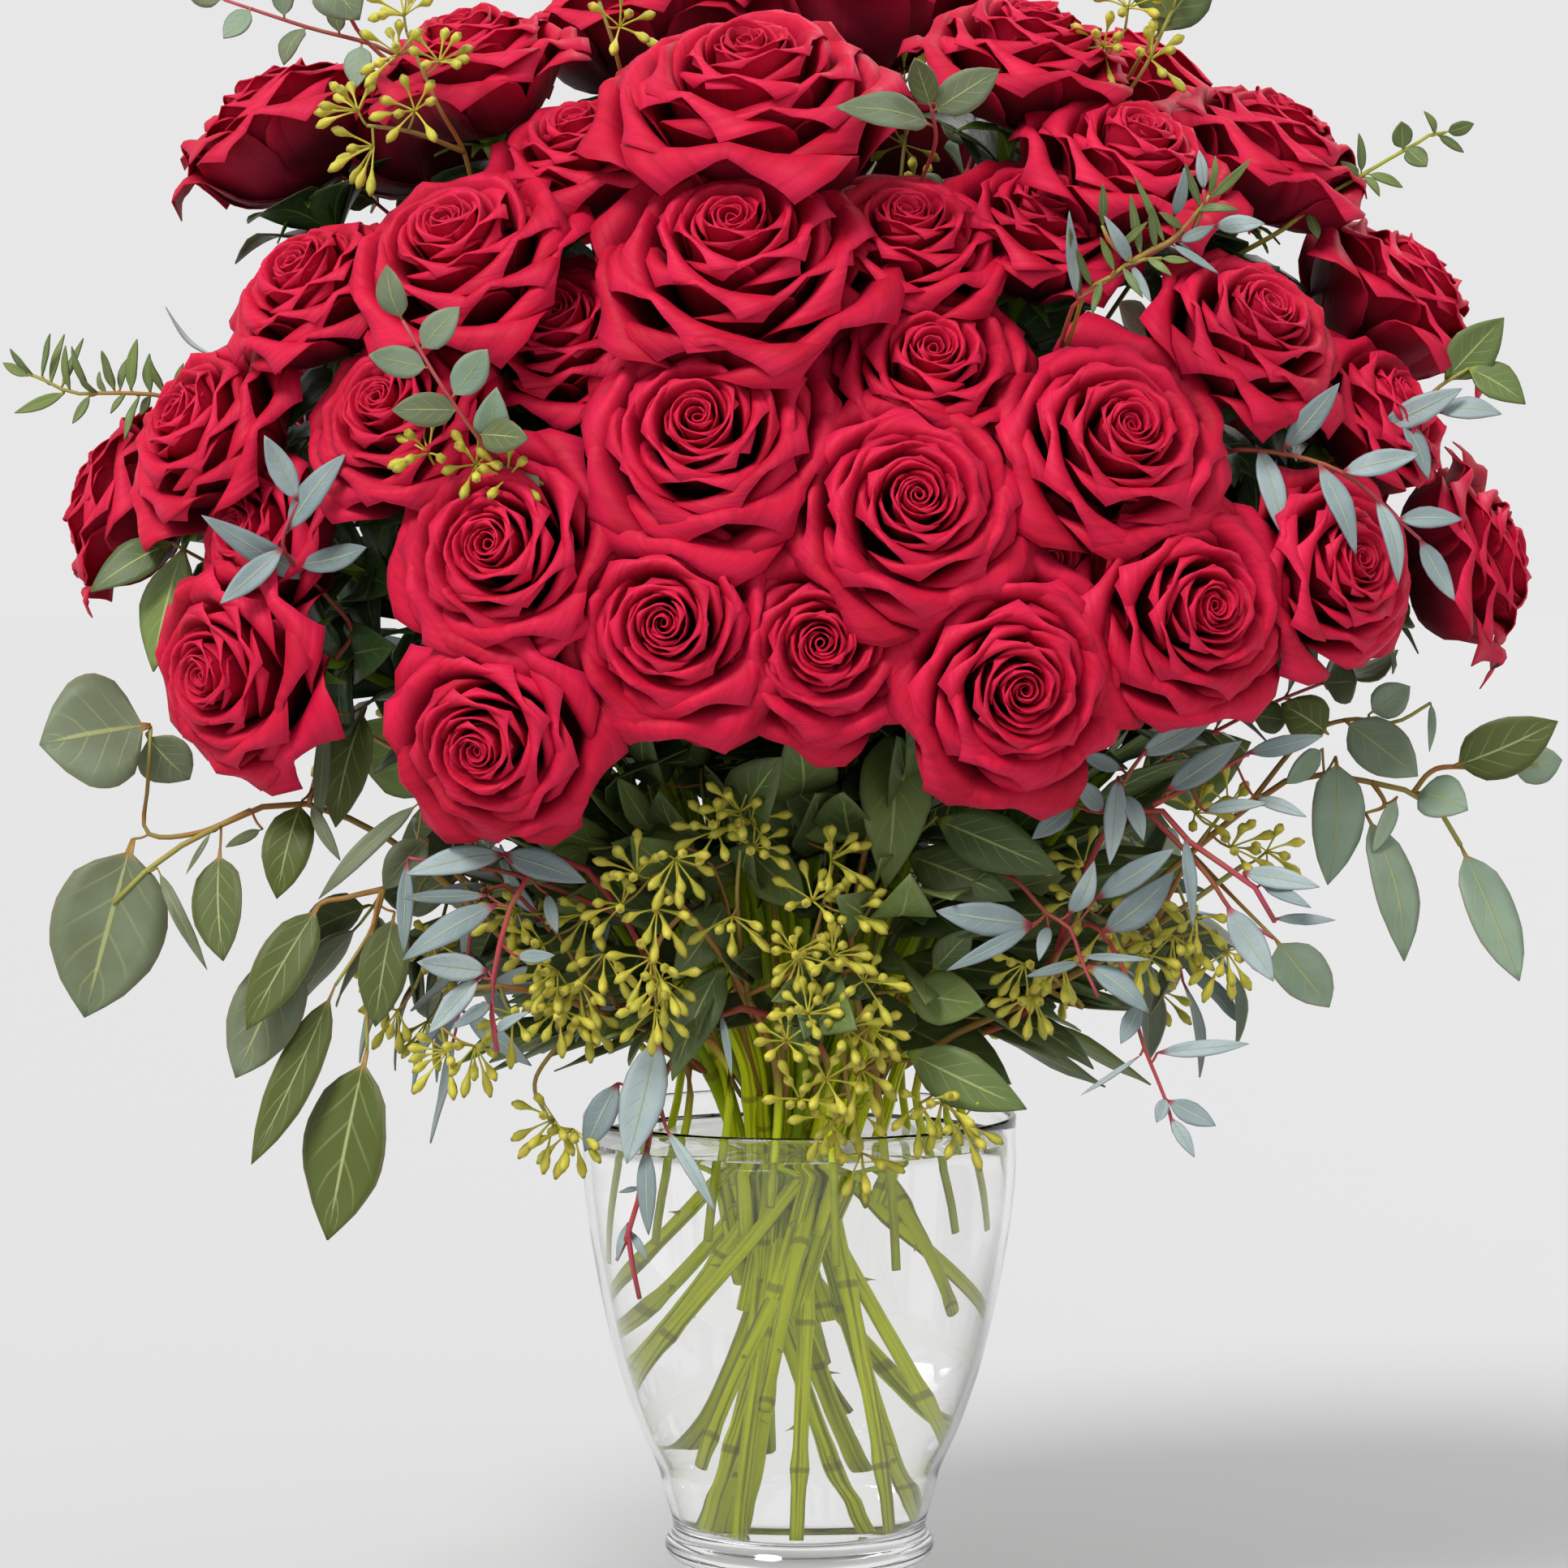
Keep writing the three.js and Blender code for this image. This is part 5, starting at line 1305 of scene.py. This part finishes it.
sprigs = {
    "top_seeded": {
        **kinds["seeded"],
        "twigs": [
            [(-112, -66, 530), (-118, -80, 553), (-126, -100, 568), (-136, -104, 592)],
            [(-118, -80, 553), (-134, -98, 558), (-150, -104, 560)],
            [(92, -52, 552), (98, -62, 572), (114, -78, 596)],
            [(-60, -60, 560), (-64, -84, 585), (-70, -92, 604)],
            [(100, -60, 560), (118, -80, 578), (130, -84, 602)],
        ],
        "fans": [
            ((-138, -106, 606), (-136, -104, 592), 9), ((-120, -112, 590), (-128, -100, 576), 8),
            ((-160, -108, 572), (-148, -104, 560), 9), ((-146, -112, 590), (-134, -102, 580), 8),
            ((-138, -116, 566), (-130, -98, 564), 8), ((-156, -106, 548), (-142, -102, 556), 7),
            ((116, -84, 612), (114, -78, 597), 9), ((104, -88, 592), (108, -72, 588), 8),
            ((134, -90, 616), (130, -84, 602), 8), ((126, -96, 588), (120, -80, 582), 7),
            ((-70, -98, 618), (-70, -92, 604), 8), ((-58, -100, 600), (-66, -86, 592), 7),
        ],
    },
    "mid_seeded": {
        **kinds["seeded"],
        "twigs": [
            [(-104, -92, 420), (-116, -128, 430), (-124, -142, 442)],
            [(-104, -92, 420), (-108, -130, 426), (-100, -150, 436)],
        ],
        "fans": [((-132, -150, 452), (-122, -140, 442), 8), ((-112, -158, 448), (-108, -142, 438), 8),
                 ((-96, -158, 442), (-101, -146, 434), 7)],
    },
    "round_sprig": {
        "twig": "redTwig", "leaf": "silverLeaf", "outline": "round",
        "twigs": [
            [(-90, -104, 425), (-98, -128, 440), (-106, -156, 448), (-120, -164, 468), (-133, -164, 490)],
            [(-130, -20, 580), (-150, -30, 594), (-178, -30, 602), (-208, -28, 612)],
            [(40, -100, 535), (46, -124, 552), (44, -144, 562)],
            [(-150, -60, 590), (-160, -76, 604), (-166, -84, 616)],
        ],
        "leaves": [
            ((-104, -150, 447), (-102, -168, 466), 13), ((-108, -158, 452), (-90, -172, 450), 12),
            ((-114, -162, 460), (-136, -170, 460), 12), ((-117, -163, 464), (-104, -172, 480), 12),
            ((-124, -164, 474), (-144, -170, 478), 11), ((-127, -164, 480), (-114, -170, 494), 11),
            ((-133, -164, 490), (-138, -168, 508), 11), ((-102, -142, 444), (-88, -156, 432), 12),
            ((-158, -31, 596), (-160, -36, 580), 11), ((-166, -31, 599), (-166, -36, 616), 11),
            ((-178, -30, 602), (-186, -34, 588), 11), ((-186, -30, 605), (-186, -34, 622), 10),
            ((-198, -29, 609), (-208, -32, 598), 10), ((-208, -28, 612), (-222, -30, 616), 10),
            ((45, -134, 557), (12, -152, 562), 13), ((44, -142, 561), (66, -152, 574), 14),
            ((44, -144, 562), (38, -156, 578), 10), ((-166, -84, 616), (-154, -92, 598), 20),
        ],
    },
    "narrow_sprig": {
        **kinds["willow"],
        "twigs": [
            [(84, -100, 470), (90, -130, 488), (93, -146, 497), (104, -152, 504), (118, -154, 513),
             (124, -154, 516), (132, -153, 521), (139, -152, 522)],
            [(132, -153, 521), (135, -155, 529), (135, -155, 534)],
            [(140, -92, 440), (150, -112, 448), (184, -120, 441), (214, -113, 417)],
            [(-158, -78, 385), (-166, -96, 398), (-178, -118, 414), (-172, -128, 430)],
            [(180, -60, 440), (204, -78, 456), (224, -80, 462)],
        ],
        "leaves": [
            ((139, -152, 522), (155, -157, 523), 6.5), ((127, -154, 517), (138, -162, 521), 4.8),
            ((125, -154, 525), (128, -165, 540), 4.8), ((135, -155, 534), (133, -158, 547), 4.4),
            ((111, -153, 509), (101, -162, 525), 4.8), ((93, -147, 498), (89, -165, 525), 4.4),
            ((124, -154, 516), (140, -157, 506), 3), ((111, -153, 509), (117, -162, 496), 3.4),
            ((158, -115, 449), (166, -126, 418), 9), ((166, -118, 448), (184, -128, 470), 9),
            ((178, -120, 443), (190, -128, 412), 9), ((186, -120, 440), (212, -126, 446), 9),
            ((198, -117, 431), (206, -120, 402), 8), ((206, -115, 424), (228, -116, 424), 8),
            ((214, -113, 417), (226, -114, 396), 8),
            ((-170, -104, 403), (-204, -126, 424), 10), ((-174, -110, 408), (-148, -128, 414), 10),
            ((-178, -118, 414), (-198, -132, 396), 9), ((-176, -122, 420), (-156, -134, 446), 10),
            ((-172, -128, 430), (-182, -136, 452), 9),
            ((204, -78, 456), (232, -86, 470), 10), ((212, -79, 459), (220, -86, 438), 9),
            ((224, -80, 462), (246, -84, 462), 9),
        ],
    },
    "needle_sprig": {
        "twig": "brownTwig", "leaf": "oliveLeaf", "outline": "narrow", "tones": (0.5, 1),
        "twigs": [
            [(-190, -26, 458), (-214, -33, 464), (-230, -39, 469), (-248, -39, 470), (-262, -39, 470),
             (-273, -39, 475), (-278, -39, 477)],
            [(84, -98, 466), (92, -128, 486), (96, -146, 500), (104, -153, 505), (111, -155, 510),
             (121, -156, 511)],
            [(111, -155, 510), (118, -155, 514), (124, -155, 517), (130, -155, 523), (137, -155, 532)],
            [(111, -155, 510), (104, -156, 516), (101, -155, 522)],
        ],
        "leaves": [
            ((-278, -39, 476), (-288, -36, 481), 3.8), ((-276, -39, 476), (-284, -40, 486), 3.4),
            ((-273, -39, 476), (-270, -44, 491), 3.4), ((-270, -39, 473), (-265, -35, 491), 3.8),
            ((-263, -39, 471), (-264, -41, 487), 3.2), ((-256, -39, 471), (-262, -45, 486), 3.2),
            ((-266, -39, 472), (-259, -34, 490), 3.2), ((-247, -39, 471), (-251, -43, 485), 4.8),
            ((-241, -39, 471), (-239, -43, 489), 5.2), ((-245, -39, 471), (-243, -33, 483), 3.2),
            ((-234, -39, 470), (-234, -41, 484), 4.2), ((-228, -38, 469), (-233, -46, 482), 3.8),
            ((-265, -39, 470), (-284, -35, 463), 4.8), ((-256, -39, 469), (-262, -41, 459), 3.6),
            ((-238, -39, 469), (-243, -44, 453), 3.4), ((-250, -39, 470), (-254, -33, 478), 3.2),
            ((-253, -39, 470), (-259, -44, 476), 3), ((-243, -39, 470), (-248, -44, 463), 3),
            ((-234, -39, 469), (-239, -33, 462), 3.6), ((-224, -37, 467), (-222, -46, 480), 4),
            ((122, -155, 516), (111, -162, 538), 3), ((134, -155, 528), (128, -162, 542), 3),
            ((137, -155, 531), (150, -163, 543), 3.6), ((137, -155, 532), (139, -158, 545), 2.8),
            ((133, -155, 527), (146, -161, 527), 3.4), ((101, -155, 522), (101, -163, 535), 3.2),
            ((114, -155, 512), (110, -161, 532), 3.4), ((106, -155, 514), (116, -161, 523), 2.8),
            ((119, -155, 514), (117, -163, 528), 3.2), ((105, -155, 507), (100, -158, 518), 3),
            ((98, -149, 502), (92, -160, 514), 3), ((95, -142, 497), (90, -163, 520), 2.8),
            ((108, -155, 508), (114, -161, 498), 3), ((116, -156, 511), (124, -161, 505), 3),
            ((101, -153, 503), (97, -163, 492), 2.8), ((121, -156, 511), (130, -158, 510), 2.8),
            ((128, -155, 521), (120, -161, 526), 3),
        ],
    },
    "bud_sprig": {
        "twig": "seedTwig", "leaf": "oliveLeaf", "outline": "round", "tones": (0.5, 1),
        "twigs": [
            [(140, -40, 510), (168, -60, 525), (179, -62, 533), (190, -54, 541), (202, -46, 548),
             (212, -40, 554), (221, -36, 559), (229, -33, 564), (233, -33, 564)],
        ],
        "leaves": [
            ((180, -62, 533), (175, -66, 541), 5), ((180, -62, 533), (183, -67, 523), 5),
            ((201, -46, 548), (200, -50, 562), 3.4), ((203, -46, 548), (216, -44, 543), 3.8),
            ((200, -47, 547), (192, -54, 552), 3.8), ((202, -46, 547), (207, -52, 540), 3.4),
            ((217, -38, 557), (216, -42, 567), 8.5), ((218, -37, 558), (225, -42, 551), 8.5),
            ((229, -33, 563), (225, -38, 571), 3.2), ((230, -33, 563), (240, -31, 557), 3.6),
            ((233, -33, 564), (243, -34, 567), 5.6),
        ],
    },
    "olive_sprig": {
        **kinds["olive"],
        "twigs": [
            [(-196, -40, 400), (-214, -52, 410), (-224, -60, 416)],
            [(110, -50, 575), (122, -64, 590), (130, -72, 600)],
            [(214, -50, 455), (226, -58, 470), (238, -60, 478)],
        ],
        "leaves": [
            ((-220, -58, 414), (-232, -72, 372), 24), ((-224, -60, 416), (-252, -66, 398), 16),
            ((126, -70, 596), (146, -76, 622), 20), ((130, -72, 600), (112, -78, 626), 18),
            ((230, -58, 474), (250, -62, 496), 18), ((238, -60, 478), (258, -64, 466), 16),
        ],
    },
}
for name, plan in sprigs.items():
    makeSpray(name, plan)

# and more that fill the gaps between the blooms at the sides, the back and the top

fillers = {
    "round_filler": {
        "twig": "redTwig", "leaf": "silverLeaf", "outline": "round", "turn": 0.9,
        "each": {"pairs": 6, "length": (17, 24), "width": 0.72, "start": 0.4},
        "twigs": [
            [(-30, 50, 400), (-40, 80, 450), (-46, 104, 490), (-42, 118, 520)],
            [(90, 40, 400), (116, 66, 448), (132, 88, 486), (148, 98, 512)],
            [(-40, 60, 340), (-56, 90, 370), (-62, 116, 396), (-70, 124, 424)],
            [(110, 16, 380), (154, 24, 430), (192, 30, 462), (216, 32, 480)],
            [(-100, 20, 470), (-134, 26, 520), (-164, 34, 548), (-186, 38, 566)],
            [(90, 10, 300), (130, 22, 330), (170, 34, 352), (204, 36, 366)],
            [(-20, 10, 500), (-26, 22, 560), (-22, 34, 600), (-16, 40, 622)],
            [(10, 0, 450), (16, -4, 510), (18, -4, 550), (12, -6, 580)],
            [(40, 0, 450), (50, -8, 500), (58, -12, 540), (66, -12, 568)],
        ],
    },
    "narrow_filler": {
        **kinds["willow"], "turn": 0.9,
        "each": {"pairs": 7, "length": (22, 32), "width": 0.24, "start": 0.35},
        "twigs": [
            [(40, 60, 340), (58, 90, 366), (64, 114, 392), (76, 124, 420)],
            [(-110, 16, 380), (-152, 26, 430), (-190, 34, 462), (-214, 36, 484)],
            [(60, 30, 480), (78, 58, 530), (82, 84, 560), (84, 96, 584)],
            [(-100, 40, 330), (-126, 66, 356), (-146, 88, 380), (-152, 98, 400)],
            [(-16, 6, 460), (-26, 8, 520), (-34, 8, 556), (-44, 4, 584)],
        ],
    },
    "seeded_filler": {
        **kinds["seeded"],
        "each": {"count": 4, "start": 0.55},
        "twigs": [
            [(34, 50, 400), (42, 80, 452), (46, 104, 492), (48, 112, 508)],
            [(-90, 40, 400), (-118, 66, 450), (-132, 90, 486), (-138, 98, 500)],
            [(100, 14, 480), (132, 22, 524), (160, 30, 552), (172, 32, 562)],
            [(-96, 10, 300), (-136, 20, 330), (-176, 28, 352), (-200, 30, 366)],
            [(100, 40, 330), (124, 66, 352), (140, 88, 372), (148, 96, 384)],
            [(26, 10, 460), (34, 12, 520), (38, 10, 556), (40, 8, 576)],
        ],
    },
}
for number, (name, plan) in enumerate(fillers.items()):
    growAlong(plan, 7 * number)
    makeSpray(name, plan)
print("sprigs stand among the roses")


# the stock shapes have been copied, and go

for stock in [petalStock, stemStock, bladeStock, smallStock, twigStock, stalkStock, seedStock]:
    bpy.data.objects.remove(stock)


# floor, light and camera

studio = {
    "floor": 60000,
    "floorPale": 0.476,  # chosen so that the lit floor is as bright as the world behind it
    "world": 0.8,
    "lights": {  # by place, strength and spread in degrees
        "key_light": ((-1000, -1500, 1900), 2.8, 20),
        "back_light": ((900, 1500, 1500), 0.9, 30),
    },
    "camera": (-5.7, -1750, 412),
    "target": (-5.7, 0, 327),
    "lens": 108.7,
    "sensor": 36,
}

deselectAll()
bpy.ops.mesh.primitive_plane_add(size=mm * studio["floor"], location=(0, 0, 0))
floor = bpy.context.object
floor.name = "studio_floor"
paint = Paint("paleFloor")
grain = paint.noise(paint.place(), 3.0, 3.0)
pale = studio["floorPale"]
floor.data.materials.append(paint.surface({
    "Base Color": paint.mix(grain * 0.2, (pale, pale, pale, 1), (*[0.96 * pale] * 3, 1)),
    "Roughness": 0.6 + grain * 0.1, "Specular IOR Level": 0.2}))

world = bpy.data.worlds.new("studioWorld")
bpy.context.scene.world = world
world.use_nodes = True
sky = world.node_tree.nodes["Background"]
sky.inputs["Color"].default_value = (1, 1, 1, 1)
sky.inputs["Strength"].default_value = studio["world"]


def turnTo(aim):
    return Vector(aim).to_track_quat("-Z", "Y").to_euler()


def windowLight(name, place, strength, spread):
    # even light from far away, so that the floor is as bright near the vase as at its horizon
    bpy.ops.object.light_add(type="SUN", location=np.array(place) * mm, rotation=turnTo(-np.array(place)))
    light = bpy.context.object
    light.name = name
    light.data.energy = strength
    light.data.angle = math.radians(spread)


for name, (place, strength, spread) in studio["lights"].items():
    windowLight(name, place, strength, spread)

eye = np.array(studio["camera"])
bpy.ops.object.camera_add(location=eye * mm, rotation=turnTo(studio["target"] - eye))
camera = bpy.context.object
camera.name = "photo_camera"
camera.data.lens = studio["lens"]
camera.data.sensor_width = studio["sensor"]
bpy.context.scene.camera = camera
bpy.context.scene.view_settings.view_transform = "Standard"
print("floor, light and camera are set")
